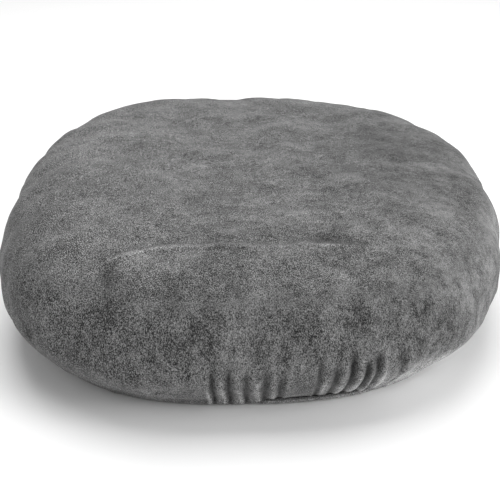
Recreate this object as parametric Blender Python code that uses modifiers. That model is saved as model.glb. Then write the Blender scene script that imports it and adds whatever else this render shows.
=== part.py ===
"""A large rounded-square floor cushion with a removable velvet cover.

The cushion stands on the XY plane, centred on the Z axis, with its front towards -Y. One velvet
crown covers the top and the sides. A corded piping joins it to a base in two panels, which open
with a zip towards the rear. Inside lie a calico liner, a fibre wadding and two glued foam sheets.
"""

import math

import bmesh
import bpy
from mathutils import Matrix, Vector

# Outer form
HALF_WIDTH = 0.300
HEIGHT = 0.180
BULGE_HEIGHT = 0.072
PLAN_POWER = 2.65
UNDER_ROLL = 0.051
UNDER_LEVEL = 0.004
HEM_ANGLE = math.radians(81)

# Steps of the turned layers; every layer shares them, so that their facets nest
TURN_STEPS = 40
UPPER_STEPS = 9
LOWER_STEPS = 5

# Layers, from outside to inside
GAP = 0.0003
VELVET = 0.0020
LINER = 0.0008
WADDING = 0.0120
BASE_FABRIC = 0.0012

# Hem and piping
PIPING_RADIUS = 0.253
PIPING_LEVEL = 0.0035
CORD_RADIUS = 0.0017
SLEEVE_RADIUS = 0.0024
SLEEVE_FABRIC = 0.0008
TAIL_SPREAD = 0.00055
TAIL_END = 0.243
FLANGE_LEVEL = 0.0066

# Base panels; the zip lies in a valley that rises from their underside
BASE_HALF_WIDTH = 0.2486
LINER_BASE_HALF_WIDTH = 0.2365
ROW_ANGLES = (6, 18, 30, 42, 54, 66, 78, 90)
SEAM_START = 0.82
SEAM_END = 0.88

# Zip, as heights and as distances from its centre line
ZIP_Y = 0.135
COIL_HALF_LENGTH = 0.160
TAPE_HALF_LENGTH = 0.182
LIP = 0.006
LIP_LEVEL = 0.0063
COIL_LEVEL = 0.00635
TAPE_LEVEL = 0.0078
PLATE_LEVEL = 0.0036
SLIDER_X = 0.151
SLIDER_LENGTH = 0.009
PULL_AXIS_LEVEL = 0.0023
PULL_THICKNESS = 0.0014

# Turns a flat outline drawn in X and Y so that its thickness lies along X or along Y
ALONG_X = Matrix(((0, 0, 1), (1, 0, 0), (0, 1, 0))).to_4x4()
ALONG_Y = Matrix(((1, 0, 0), (0, 0, -1), (0, 1, 0))).to_4x4()

COLOURS = {
    "velvet": (0.19, 0.19, 0.19),
    "piping_cotton": (0.72, 0.70, 0.65),
    "base_cloth": (0.10, 0.10, 0.10),
    "zip_tape": (0.06, 0.06, 0.06),
    "zip_coil": (0.04, 0.04, 0.04),
    "zip_metal": (0.42, 0.42, 0.44),
    "calico": (0.74, 0.70, 0.60),
    "wadding": (0.86, 0.86, 0.84),
    "foam_soft": (0.88, 0.84, 0.66),
    "foam_firm": (0.60, 0.68, 0.76),
}


def clear_scene():
    """Remove the objects that a new file starts with."""
    for obj in list(bpy.data.objects):
        bpy.data.objects.remove(obj, do_unlink=True)


def new_collection(name):
    """Add a collection to the scene."""
    collection = bpy.data.collections.new(name)
    bpy.context.scene.collection.children.link(collection)
    return collection


def finish(obj, colour, roughness=0.9, metallic=0.0):
    """Give an object a Principled material of its own."""
    material = bpy.data.materials.new(obj.name)
    material.use_nodes = True
    shader = material.node_tree.nodes["Principled BSDF"]
    shader.inputs["Base Color"].default_value = (*COLOURS[colour], 1.0)
    shader.inputs["Roughness"].default_value = roughness
    shader.inputs["Metallic"].default_value = metallic
    obj.data.materials.append(material)


def baked(obj):
    """Replace an object's curve or modifiers by the mesh that they make, with its caps welded."""
    depsgraph = bpy.context.evaluated_depsgraph_get()
    mesh = bpy.data.meshes.new_from_object(obj.evaluated_get(depsgraph))
    form = bmesh.new()
    form.from_mesh(mesh)
    bmesh.ops.remove_doubles(form, verts=form.verts, dist=1e-6)
    form.to_mesh(mesh)
    form.free()
    solid = bpy.data.objects.new(obj.name, mesh)
    solid.matrix_world = obj.matrix_world.copy()
    for collection in obj.users_collection:
        collection.objects.link(solid)
    name = obj.name
    bpy.data.objects.remove(obj, do_unlink=True)
    solid.name = name
    return solid


# ---------------------------------------------------------------- turned layers


def plan_half_depth(share):
    """Half depth of the squared plan, as a share of the half width, where its half width is share."""
    return (1.0 - abs(share) ** PLAN_POWER) ** (1.0 / PLAN_POWER)


def square_plan(mesh):
    """Push each circle round Z out to a superellipse that keeps its half width."""
    for vertex in mesh.vertices:
        x, y = vertex.co.x, vertex.co.y
        radius = math.hypot(x, y)
        if radius > 1e-6:
            power = abs(x / radius) ** PLAN_POWER + abs(y / radius) ** PLAN_POWER
            stretch = power ** (-1.0 / PLAN_POWER)
            vertex.co.x, vertex.co.y = x * stretch, y * stretch


def turned(collection, name, profile, closed=False):
    """Turn a profile of (radius, height) points about Z and square the result in plan."""
    mesh = bpy.data.meshes.new(name)
    edges = [(i, i + 1) for i in range(len(profile) - 1)]
    if closed:
        edges.append((len(profile) - 1, 0))
    mesh.from_pydata([(radius, 0.0, height) for radius, height in profile], edges, [])
    obj = bpy.data.objects.new(name, mesh)
    collection.objects.link(obj)
    screw = obj.modifiers.new("Turn", "SCREW")
    screw.steps = TURN_STEPS
    screw.render_steps = TURN_STEPS
    screw.use_merge_vertices = True
    screw.merge_threshold = 0.0001
    obj = baked(obj)
    square_plan(obj.data)
    obj.data.shade_smooth()
    obj.data.set_sharp_from_angle(angle=math.radians(35))
    return obj


def upper_point(angle):
    """Point of the upper side, in the direction angle from straight up.

    The curve is radius**6 + rise**3 = 1, on the half width and on the rise above the widest line.
    """
    across = math.sin(angle) ** 6
    up = math.cos(angle) ** 3
    reach = (2.0 / (up + math.sqrt(up * up + 4.0 * across))) ** (1.0 / 3.0)
    rise = (HEIGHT - BULGE_HEIGHT) * reach * math.cos(angle)
    return HALF_WIDTH * reach * math.sin(angle), BULGE_HEIGHT + rise


def lower_point(angle):
    """Point of the quarter ellipse that rolls under from the widest line."""
    radius = HALF_WIDTH - UNDER_ROLL * (1.0 - math.cos(angle))
    return radius, BULGE_HEIGHT - (BULGE_HEIGHT - UNDER_LEVEL) * math.sin(angle)


def side_path(inset=0.0):
    """The cushion's side from the top centre down to the hem, moved inwards by inset."""
    path = [upper_point(math.pi / 2 * i / UPPER_STEPS) for i in range(UPPER_STEPS + 1)]
    path[0] = (0.0, HEIGHT)
    path += [lower_point(HEM_ANGLE * i / LOWER_STEPS) for i in range(1, LOWER_STEPS + 1)]
    moved = [(0.0, HEIGHT - inset)]
    for before, point, after in zip(path, path[1:], path[2:] + path[-1:]):
        run = Vector(after) - Vector(before)
        inwards = Vector((run.y, -run.x)).normalized()
        moved.append(tuple(Vector(point) + inwards * inset))
    return moved


def velvet_crown(collection):
    """Top and sides in one piece of velvet, with the hem turned in over the piping."""
    flange_top = FLANGE_LEVEL + 0.0016
    hem = [(0.255, FLANGE_LEVEL), (TAIL_END, FLANGE_LEVEL), (TAIL_END, flange_top), (0.254, flange_top)]
    profile = side_path() + hem + side_path(VELVET)[-2::-1]
    crown = turned(collection, "velvet_crown", profile)
    finish(crown, "velvet")


def liner_crown(collection):
    """Calico inner cover over the top and sides, down to the edge of its own base."""
    outer = VELVET + GAP
    hem = [(0.255, 0.0089), (0.241, 0.0085), (0.2395, 0.0027)]
    inner_hem = [(0.2387, 0.0027), (0.2402, 0.0093), (0.2548, 0.0097)]
    profile = side_path(outer)[:-1] + hem + inner_hem + side_path(outer + LINER)[-2::-1]
    finish(turned(collection, "liner_crown", profile), "calico")


def wadding_wrap(collection):
    """Fibre wadding over the top and sides of the foam."""
    outer = VELVET + LINER + 2 * GAP
    edge = [(0.2547, 0.0101), (0.250, 0.0101), (0.250, 0.018)]
    profile = side_path(outer)[:-1] + edge + side_path(outer + WADDING)[-2::-1]
    finish(turned(collection, "wadding_wrap", profile), "wadding", roughness=1.0)


def foam_sheets(collection, groove):
    """Two sheets of foam glued at the widest line; the lower one is grooved over the zip."""
    path = side_path(VELVET + LINER + WADDING + 3 * GAP)
    upper = path[: UPPER_STEPS + 1]
    joint_radius, joint_height = upper[-1]
    finish(turned(collection, "foam_upper", upper + [(0.0, joint_height)]), "foam_soft")
    underside = [(0.2497, 0.0183), (0.2496, 0.0101), (0.239, 0.0098), (0.2375, 0.0026), (0.0, 0.0026)]
    top = [(0.0, joint_height - GAP), (joint_radius, joint_height - GAP)]
    lower = turned(collection, "foam_lower", top + path[UPPER_STEPS + 1 : -1] + underside)
    cut = lower.modifiers.new("Zip groove", "BOOLEAN")
    cut.object = groove
    finish(lower, "foam_firm")


def piping(collection):
    """Cotton cord in a folded velvet sleeve, whose two tails run inwards between the hems."""
    centre = Vector((PIPING_RADIUS, PIPING_LEVEL))
    cord = [
        tuple(centre + CORD_RADIUS * Vector((math.sin(turn), math.cos(turn))))
        for turn in (math.tau * i / 8 for i in range(8))
    ]
    finish(turned(collection, "piping_cord", cord, closed=True), "piping_cotton")

    opening = math.asin(TAIL_SPREAD / SLEEVE_RADIUS)
    sweep = math.tau - 2 * opening
    outside, inside = [], []
    for i in range(10):
        turn = -math.pi / 2 + opening + sweep * i / 9
        direction = Vector((math.sin(turn), math.cos(turn)))
        outside.append(tuple(centre + (SLEEVE_RADIUS + SLEEVE_FABRIC / 2) * direction))
        inside.append(tuple(centre + (SLEEVE_RADIUS - SLEEVE_FABRIC / 2) * direction))
    spread, half = TAIL_SPREAD, SLEEVE_FABRIC / 2
    upper_tail = [
        (TAIL_END, PIPING_LEVEL + spread - half),
        (TAIL_END, PIPING_LEVEL + spread + half),
    ]
    lower_tail = [
        (TAIL_END, PIPING_LEVEL - spread - half),
        (TAIL_END, PIPING_LEVEL - spread + half),
    ]
    section = upper_tail + outside + lower_tail + inside[::-1]
    finish(turned(collection, "piping_sleeve", section, closed=True), "velvet")


# ---------------------------------------------------------------- base layers


def fade(value, full, gone):
    """1 up to full, falling to 0 at gone."""
    return min(max((gone - value) / (gone - full), 0.0), 1.0)


def base_rows(half_width, front=(), rear=()):
    """Rows of a base layer from front to back, with the rows at the zip between the two ends."""
    towards_zip = [-half_width * math.cos(math.radians(angle)) for angle in ROW_ANGLES]
    from_zip = [half_width * math.cos(math.radians(angle)) for angle in ROW_ANGLES[3::-1]]
    rows = (towards_zip if front else []) + [ZIP_Y + y for y in (*front, *rear)]
    return rows + (from_zip if rear else [])


def base_layer(collection, name, rows, half_width, level, thickness, lift, lip, foot, columns, edge=None):
    """A level sheet with a squared outline that rises over the zip.

    rows are the sheet's places along Y. columns are shares of the half width in each row, and the
    last but one and last but two are where the rise starts and ends. edge moves the row beside
    the zip to either side of it, by the share of the half width.
    """
    gone, full = columns[-2], columns[-3]
    places = [-share for share in columns[::-1]] + list(columns[1:])
    form = bmesh.new()
    bmesh.ops.create_grid(form, x_segments=len(places) - 1, y_segments=len(rows) - 1, size=1.0)
    for vertex in form.verts:
        column = round((vertex.co.x + 1) / 2 * (len(places) - 1))
        row = round((vertex.co.y + 1) / 2 * (len(rows) - 1))
        share, y = places[column], rows[row]
        x = share * half_width * plan_half_depth(y / half_width)
        rise = lift * fade(abs(y - ZIP_Y), lip, foot) * fade(abs(share), full, gone)
        if edge and abs(abs(y - ZIP_Y) - LIP) < 1e-6:
            y = ZIP_Y + math.copysign(edge(abs(share)), y - ZIP_Y)
        vertex.co = (x, y, level + rise)
    mesh = bpy.data.meshes.new(name)
    form.to_mesh(mesh)
    form.free()
    obj = bpy.data.objects.new(name, mesh)
    collection.objects.link(obj)
    solidify = obj.modifiers.new("Fabric", "SOLIDIFY")
    solidify.thickness = thickness
    solidify.offset = 1.0
    return obj


def zip_edge(share):
    """Distance of a panel's edge from the zip's centre line: open along the zip, then seamed."""
    return GAP / 2 + (LIP - GAP / 2) * fade(share, SEAM_START, SEAM_END)


def base_panels(collection):
    """Front and rear base panels, which rise at the zip so that its slider clears the floor."""
    columns = (0.0, 0.3, 0.6, SEAM_START, SEAM_END, 1.0)
    foot, lip_back = 0.024, 0.010
    shape = (0.0, BASE_FABRIC, LIP_LEVEL, lip_back, foot, columns, zip_edge)
    front = base_rows(BASE_HALF_WIDTH, front=(-foot, -lip_back, -LIP))
    rear = base_rows(BASE_HALF_WIDTH, rear=(LIP, lip_back, foot))
    for name, rows in (("base_panel_front", front), ("base_panel_rear", rear)):
        finish(base_layer(collection, name, rows, BASE_HALF_WIDTH, *shape), "base_cloth")


def liner_base(collection):
    """Calico base of the liner, which passes over the zip."""
    columns = (0.0, 0.45, SEAM_END, 0.96, 1.0)
    lip, foot, level = 0.016, 0.028, BASE_FABRIC + GAP
    rows = base_rows(LINER_BASE_HALF_WIDTH, front=(-foot, -lip), rear=(lip, foot))
    shape = (LINER_BASE_HALF_WIDTH, level, LINER, 0.0087, lip, foot, columns)
    finish(base_layer(collection, "liner_base", rows, *shape), "calico")


# ---------------------------------------------------------------- zip


def box(collection, name, low, high, bevel=0.0):
    """A box between two corners, with its edges rounded by bevel."""
    low, high = Vector(low), Vector(high)
    form = bmesh.new()
    bmesh.ops.create_cube(form, size=1.0)
    for vertex in form.verts:
        vertex.co = Vector(a * b for a, b in zip(vertex.co, high - low))
    mesh = bpy.data.meshes.new(name)
    form.to_mesh(mesh)
    form.free()
    obj = bpy.data.objects.new(name, mesh)
    obj.location = (low + high) / 2
    collection.objects.link(obj)
    if bevel:
        rounding = obj.modifiers.new("Rounding", "BEVEL")
        rounding.width = bevel
        rounding.segments = 2
    return obj


def plate(collection, name, outlines, thickness, place, turn=None):
    """A flat piece from closed outlines; an outline inside another is a hole."""
    curve = bpy.data.curves.new(name, "CURVE")
    curve.dimensions = "2D"
    curve.fill_mode = "BOTH"
    curve.extrude = thickness / 2
    for outline in outlines:
        spline = curve.splines.new("POLY")
        spline.points.add(len(outline) - 1)
        for point, (x, y) in zip(spline.points, outline):
            point.co = (x, y, 0.0, 1.0)
        spline.use_cyclic_u = True
    obj = bpy.data.objects.new(name, curve)
    obj.matrix_world = Matrix.Translation(place) @ (turn or Matrix.Identity(4))
    collection.objects.link(obj)
    bpy.context.view_layer.update()
    return baked(obj)


def rounded_outline(left, right, half_height, radius, steps=4):
    """A rectangle about the X axis with rounded corners."""
    outline = []
    corners = ((right, 1, 0), (left, 1, 1), (left, -1, 2), (right, -1, 3))
    for x, side, quarter in corners:
        centre = Vector((x - radius if x == right else x + radius, side * (half_height - radius)))
        for i in range(steps + 1):
            turn = math.pi / 2 * (quarter + i / steps)
            outline.append(tuple(centre + radius * Vector((math.cos(turn), math.sin(turn)))))
    return outline


def zip_tapes(collection):
    """The two woven tapes, sewn inside the edges of the base panels."""
    for name, side in (("zip_tape_front", -1), ("zip_tape_rear", 1)):
        near, far = sorted((ZIP_Y + side * 0.0009, ZIP_Y + side * 0.014))
        low = (-TAPE_HALF_LENGTH, near, TAPE_LEVEL)
        high = (TAPE_HALF_LENGTH, far, TAPE_LEVEL + 0.0006)
        finish(box(collection, name, low, high), "zip_tape")


def zip_coils(collection):
    """The two rows of interlocked coil, as plain bars of their outer size."""
    turns = [math.tau * i / 10 for i in range(10)]
    section = [(0.0011 * math.cos(turn), 0.00115 * math.sin(turn)) for turn in turns]
    for name, side in (("zip_coil_front", -1), ("zip_coil_rear", 1)):
        place = (0.0, ZIP_Y + side * 0.0019, COIL_LEVEL)
        coil = plate(collection, name, [section], 2 * COIL_HALF_LENGTH, place, ALONG_X)
        finish(coil, "zip_coil", roughness=0.4)


def zip_stops(collection):
    """A bottom stop over both rows at -X, and a top stop on each row at +X."""
    near, far = COIL_HALF_LENGTH + 0.001, COIL_HALF_LENGTH + 0.004
    low, high = 0.0050, 0.0075
    stops = (
        ("zip_bottom_stop", -far, -near, -0.0031, 0.0031),
        ("zip_top_stop_front", near, far, -0.0031, -0.0007),
        ("zip_top_stop_rear", near, far, 0.0007, 0.0031),
    )
    for name, left, right, front, rear in stops:
        corners = (left, ZIP_Y + front, low), (right, ZIP_Y + rear, high)
        finish(box(collection, name, *corners, bevel=0.0003), "zip_metal", 0.35, 1.0)


def zip_end_tabs(collection):
    """Fabric tabs that cover the ends of the zip."""
    for name, centre in (("zip_end_tab_left", -0.173), ("zip_end_tab_right", 0.173)):
        low = (centre - 0.005, ZIP_Y - 0.010, LIP_LEVEL - GAP - 0.001)
        high = (centre + 0.005, ZIP_Y + 0.010, LIP_LEVEL - GAP)
        finish(box(collection, name, low, high), "base_cloth")


def zip_slider(collection):
    """Slider with an outer plate, side flanges, a central post and an inner plate, all in one casting."""
    plate_top, flange_top, inner_plate, top = 0.0048, 0.0073, 0.0089, 0.0099
    half = [
        (0.0047, PLATE_LEVEL),
        (0.0047, flange_top),
        (0.0039, flange_top),
        (0.0039, plate_top),
        (0.0005, plate_top),
        (0.0005, inner_plate),
        (0.0042, inner_plate),
        (0.0042, top),
    ]
    section = half + [(-y, z) for y, z in half[::-1]]
    slider = plate(collection, "zip_slider", [section], SLIDER_LENGTH, (SLIDER_X, ZIP_Y, 0.0), ALONG_X)
    finish(slider, "zip_metal", 0.35, 1.0)


def zip_bridge(collection):
    """Bridge under the slider's outer plate that holds the bar of the pull."""
    outer, inner, bottom, strap_top, top = 0.0030, 0.0022, 0.0004, 0.0012, PLATE_LEVEL - GAP
    half = [(outer, top), (outer, 0.0008), (outer - 0.0006, bottom)]
    section = half + [(-x, z) for x, z in half[::-1]]
    section += [(-inner, top), (-inner, strap_top), (inner, strap_top), (inner, top)]
    bridge = plate(collection, "zip_bridge", [section], 0.0024, (SLIDER_X, ZIP_Y, 0.0), ALONG_Y)
    finish(bridge, "zip_metal", 0.35, 1.0)


def zip_pull(collection):
    """Flat pull with a window round the bridge; it hinges on the bar at the window's end."""
    outline = rounded_outline(-0.025, 0.0006, 0.0035, 0.0006)
    window = rounded_outline(-0.0046, -0.0006, 0.0017, 0.0004, steps=2)
    grip = rounded_outline(-0.0215, -0.0085, 0.0018, 0.0012)
    place = (SLIDER_X, ZIP_Y, PULL_AXIS_LEVEL)
    pull = plate(collection, "zip_pull", [outline, window, grip], PULL_THICKNESS, place)
    finish(pull, "zip_metal", 0.35, 1.0)


def main():
    """Build the cushion from the outside to the inside."""
    clear_scene()
    parts = new_collection("floor_cushion")
    cutters = new_collection("cutters")

    groove = box(cutters, "zip_groove", (-0.32, ZIP_Y - 0.029, -0.01), (0.32, ZIP_Y + 0.029, 0.0114))
    groove.hide_render = True
    groove.display_type = "WIRE"

    velvet_crown(parts)
    piping(parts)
    base_panels(parts)

    zip_tapes(parts)
    zip_coils(parts)
    zip_stops(parts)
    zip_end_tabs(parts)
    zip_slider(parts)
    zip_bridge(parts)
    zip_pull(parts)

    liner_crown(parts)
    liner_base(parts)
    wadding_wrap(parts)
    foam_sheets(parts, groove)


main()
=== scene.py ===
"""Looks of a large velvet floor cushion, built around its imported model.

The velvet crown, its corded piping, the zipped base and the filling are rebuilt here as fine
meshes with procedural finishes. Lengths are in metres, +Z is up and the front faces -Y.
"""

import logging
import math
from dataclasses import dataclass, field
from enum import Enum
from typing import Callable, ClassVar, Iterable, Optional, Sequence, Union

import bmesh
import bpy
import numpy as np
from mathutils import Matrix, Vector
from mathutils.bvhtree import BVHTree


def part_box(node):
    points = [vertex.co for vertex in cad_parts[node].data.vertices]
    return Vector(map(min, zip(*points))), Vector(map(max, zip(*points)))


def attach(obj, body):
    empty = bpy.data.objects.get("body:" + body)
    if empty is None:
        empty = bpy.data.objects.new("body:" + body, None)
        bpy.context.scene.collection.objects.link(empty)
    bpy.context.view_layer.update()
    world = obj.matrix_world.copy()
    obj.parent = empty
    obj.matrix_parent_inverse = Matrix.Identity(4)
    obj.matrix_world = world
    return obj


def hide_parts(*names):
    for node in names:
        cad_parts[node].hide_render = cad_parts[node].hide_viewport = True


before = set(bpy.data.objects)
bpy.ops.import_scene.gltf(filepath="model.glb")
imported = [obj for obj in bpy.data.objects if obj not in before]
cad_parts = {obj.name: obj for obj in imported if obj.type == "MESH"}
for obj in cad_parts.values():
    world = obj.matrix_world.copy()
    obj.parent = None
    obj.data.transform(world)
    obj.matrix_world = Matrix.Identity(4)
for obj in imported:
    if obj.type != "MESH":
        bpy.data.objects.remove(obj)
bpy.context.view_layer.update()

LOG = logging.getLogger("cushion")
SHARP_ANGLE = math.radians(40.0)
# Name of the crown's vertex attribute that holds its painted light and shade.
PAINTED_LIGHT_ATTRIBUTE = "painted_light_and_shade"
Number = Union[float, "Value"]
Reading = Callable[[np.ndarray, np.ndarray], np.ndarray]


class Body(Enum):
    """The moving bodies that a piece can ride on."""

    CUSHION = "cushion"
    SLIDER = "slider"
    PULL = "pull"


class Slot(Enum):
    """The record's material slots."""

    VELVET = "velvet"
    CORD = "piping_cotton"
    BASE = "base_cloth"
    TAPE = "zip_tape"
    COIL = "zip_coil"
    METAL = "zip_metal"
    CALICO = "calico"
    WADDING = "wadding"
    SOFT_FOAM = "foam_soft"
    FIRM_FOAM = "foam_firm"


# ---------------------------------------------------------------- shader maths


class Value:
    """A number that changes over a surface: a socket with Python's arithmetic."""

    def __init__(self, graph: "Graph", socket: bpy.types.NodeSocket) -> None:
        """Keep the socket and the graph that it is in."""
        self.graph = graph
        self.socket = socket

    def _maths(self, operation: str, first: Number, second: Number) -> "Value":
        """Add one Math node for two numbers."""
        return self.graph.add("ShaderNodeMath", {"operation": operation}, {0: first, 1: second})

    def __add__(self, other: Number) -> "Value":
        """Sum."""
        return self._maths("ADD", self, other)

    def __sub__(self, other: Number) -> "Value":
        """Difference."""
        return self._maths("SUBTRACT", self, other)

    def __rsub__(self, other: Number) -> "Value":
        """Difference with the number first."""
        return self._maths("SUBTRACT", other, self)

    def __mul__(self, other: Number) -> "Value":
        """Product."""
        return self._maths("MULTIPLY", self, other)

    def __abs__(self) -> "Value":
        """Distance from zero."""
        return self._maths("ABSOLUTE", self, 0.0)

    __radd__ = __add__
    __rmul__ = __mul__

    def step(self, low: float, high: float) -> "Value":
        """Rise smoothly from 0 at low to 1 at high, or fall where high is the smaller.

        Args:
            low: The value where the result is 0.
            high: The value where the result is 1.

        Returns:
            The smooth step.
        """
        inputs = {"Value": self, "From Min": low, "From Max": high}
        return self.graph.add("ShaderNodeMapRange", {"interpolation_type": "SMOOTHSTEP"}, inputs)

    def wave(self, turns: float) -> "Value":
        """A sine of the value, from 0 to 1, with so many turns for each unit."""
        return self._maths("SINE", self * (turns * math.tau), 0.0) * 0.5 + 0.5


class Graph:
    """A material's node tree."""

    COLOUR_MIX = (6, 7, 2)
    TINT_REACH = 5.0

    def __init__(self, tree: bpy.types.NodeTree) -> None:
        """Keep the tree that nodes are added to."""
        self.tree = tree

    def add(self, kind: str, settings: Optional[dict] = None, inputs: Optional[dict] = None,
            output: Union[int, str] = 0) -> Value:
        """Add a node.

        Args:
            kind: The node's type.
            settings: Its properties, which are set first.
            inputs: Values or links of its sockets, by name or index.
            output: The output to return.

        Returns:
            The output socket as a value.
        """
        node = self.tree.nodes.new(kind)
        for name, value in (settings or {}).items():
            setattr(node, name, value)
        for key, value in (inputs or {}).items():
            self.feed(node.inputs[key], value)
        return Value(self, node.outputs[output])

    def feed(self, socket: bpy.types.NodeSocket, value: Union[Number, tuple]) -> None:
        """Link a value to a socket, or set the socket to a number or a colour.

        Args:
            socket: The socket.
            value: A value, a number, a vector or a colour without its alpha.
        """
        if isinstance(value, Value):
            self.tree.links.new(value.socket, socket)
        elif isinstance(value, tuple) and socket.type == "RGBA":
            socket.default_value = (*value, 1.0)
        else:
            socket.default_value = value

    def place(self) -> Value:
        """The point on the object, in metres."""
        return self.add("ShaderNodeTexCoord", output="Object")

    def scaled(self, vector: Value, scale: tuple[float, float, float]) -> Value:
        """A vector with each axis scaled."""
        return self.add("ShaderNodeVectorMath", {"operation": "MULTIPLY"}, {0: vector, 1: scale})

    def shifted(self, vector: Value, by: Union[Value, tuple]) -> Value:
        """A vector plus another."""
        return self.add("ShaderNodeVectorMath", {"operation": "ADD"}, {0: vector, 1: by})

    def axes(self, vector: Value) -> tuple[Value, Value, Value]:
        """The three parts of a vector."""
        node = self.add("ShaderNodeSeparateXYZ", inputs={0: vector}).socket.node
        return tuple(Value(self, socket) for socket in node.outputs)

    def noise(self, vector: Value, scale: Union[float, tuple], detail: float = 2.0,
              roughness: float = 0.5) -> Value:
        """Cloud noise, from 0 to 1 about 0.5.

        Args:
            vector: The point to read it at.
            scale: Its lumps for each metre, the same on all axes or one number for each.
            detail: Its octaves.
            roughness: The share that each octave keeps.

        Returns:
            The noise.
        """
        if isinstance(scale, tuple):
            vector, scale = self.scaled(vector, scale), 1.0
        inputs = {"Vector": vector, "Scale": scale, "Detail": detail, "Roughness": roughness}
        return self.add("ShaderNodeTexNoise", {}, inputs)

    def warp(self, vector: Value, scale: float, amount: float) -> Value:
        """A vector pushed about by coloured noise.

        Args:
            vector: The vector.
            scale: The noise's lumps for each metre.
            amount: The longest push, in metres.

        Returns:
            The pushed vector.
        """
        inputs = {"Vector": vector, "Scale": scale, "Detail": 2.0}
        push = self.shifted(self.add("ShaderNodeTexNoise", {}, inputs, "Color"), (-0.5, -0.5, -0.5))
        return self.shifted(vector, self.scaled(push, (amount, amount, amount)))

    def mix(self, factor: Number, first: Union[Value, tuple], second: Union[Value, tuple]) -> Value:
        """Mix two colours.

        Args:
            factor: The share of the second colour.
            first: The first colour.
            second: The second colour.

        Returns:
            The mixed colour.
        """
        first_socket, second_socket, result = self.COLOUR_MIX
        inputs = {0: factor, first_socket: first, second_socket: second}
        return self.add("ShaderNodeMix", {"data_type": "RGBA"}, inputs, result)

    def tint(self, colour: tuple[float, float, float], strength: Value) -> Value:
        """A colour made lighter or darker by a value about 1."""
        lightest = tuple(self.TINT_REACH * part for part in colour)
        return self.mix(strength * (1.0 / self.TINT_REACH), (0.0, 0.0, 0.0), lightest)

    def bump(self, height: Value, distance: float, strength: float = 1.0) -> Value:
        """A normal bent by a height, which counts as distance metres for each unit."""
        inputs = {"Height": height, "Distance": distance, "Strength": strength}
        return self.add("ShaderNodeBump", {}, inputs)


@dataclass(frozen=True)
class Finish:
    """A finish that a piece is dressed in."""

    name: str
    colour: tuple[float, float, float]
    slot: Slot
    roughness: float = 0.9

    def material(self) -> bpy.types.Material:
        """The finish's material, made the first time that it is asked for.

        Returns:
            The material.
        """
        found = bpy.data.materials.get(self.name)
        if found:
            return found
        made = bpy.data.materials.new(self.name)
        made.use_nodes = True
        shader = made.node_tree.nodes["Principled BSDF"]
        shader.inputs["Base Color"].default_value = (*self.colour, 1.0)
        shader.inputs["Roughness"].default_value = self.roughness
        self.paint(Graph(made.node_tree), shader)
        return made

    def paint(self, graph: Graph, shader: bpy.types.ShaderNode) -> None:
        """Add the finish's own nodes; a subclass does this."""

    def coat(self, graph: Graph, shader: bpy.types.ShaderNode, shade: Value, roughness: Value,
             normal: Optional[Value] = None) -> None:
        """Feed what changes over the surface to the shader.

        Args:
            graph: The material's nodes.
            shader: Its shader.
            shade: How light the finish's colour is, about 1.
            roughness: How rough it is.
            normal: Its bent normal, if it has a relief.
        """
        graph.feed(shader.inputs["Base Color"], graph.tint(self.colour, shade))
        graph.feed(shader.inputs["Roughness"], roughness)
        if normal:
            graph.feed(shader.inputs["Normal"], normal)

    def dress(self, piece: bpy.types.Object) -> None:
        """Put the finish on a piece.

        Args:
            piece: The piece, new or carried over.
        """
        material = self.material()
        if piece.material_slots:
            for holder in piece.material_slots:
                holder.material = material
        else:
            piece.data.materials.append(material)


@dataclass(frozen=True)
class CrushedVelvet(Finish):
    """Short velvet nap, pressed in many directions, so that it is light and dark in patches."""

    patches: float = 4.2
    grain: float = 6.5
    sheen: float = 0.16
    pile_depth: float = 0.0005

    def paint(self, graph: Graph, shader: bpy.types.ShaderNode) -> None:
        """Pressed patches of all sizes, the grain of the tufts, a few raised hairs, a soft sheen, and the
        painted light and shade that the crown carries as a vertex attribute.

        Args:
            graph: The material's nodes.
            shader: Its shader.
        """
        top = graph.axes(graph.add("ShaderNodeNewGeometry", output="Normal"))[2].step(0.5, 0.9)
        x, _, z = graph.axes(graph.place())
        rough = 1.0 + x.step(-0.02, -0.24) * 0.8 + z.step(0.055, 0.025) * 0.8 - x.step(0.06, 0.22) * 0.4
        place = graph.warp(graph.place(), 11.0, 0.03)
        level = graph.noise(place, (17.0, 21.0, 16.0), 4.0, 1.0) - 0.5
        upright = graph.noise(place, (22.0, 22.0, 11.0), 4.0, 1.0) - 0.5
        pressed = (level * 0.85 * top + upright * (1.0 - top)) * self.patches
        lying = graph.noise(graph.place(), (1150.0, 760.0, 900.0), 1.0, 1.0) - 0.5
        standing = graph.noise(graph.place(), (960.0, 960.0, 540.0), 1.0, 1.0) - 0.5
        tufts = lying * 1.35 * top + standing * (1.0 - top)
        hairs = graph.noise(place, (900.0, 900.0, 110.0), 0.0).step(0.70, 0.78)
        # Painted shade and painted highlights from the crown's vertex attribute darken and lighten the
        # velvet's colour.
        painted_tone = graph.add("ShaderNodeAttribute", {"attribute_name": PAINTED_LIGHT_ATTRIBUTE}, output="Fac")
        cloth = pressed + tufts * rough * self.grain + hairs * (1.0 - top) * 0.35 + 1.0
        shade = graph.add("ShaderNodeMath", {"operation": "MAXIMUM"}, {0: cloth, 1: 0.15}) * (painted_tone + 1.0)
        relief = tufts + pressed * 0.5
        normal = graph.bump(relief, self.pile_depth, 0.8)
        self.coat(graph, shader, shade, self.roughness - pressed * 0.15, normal)
        shader.inputs["Sheen Weight"].default_value = self.sheen
        shader.inputs["Sheen Roughness"].default_value = 0.40
        shader.inputs["Specular IOR Level"].default_value = 0.15


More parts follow.
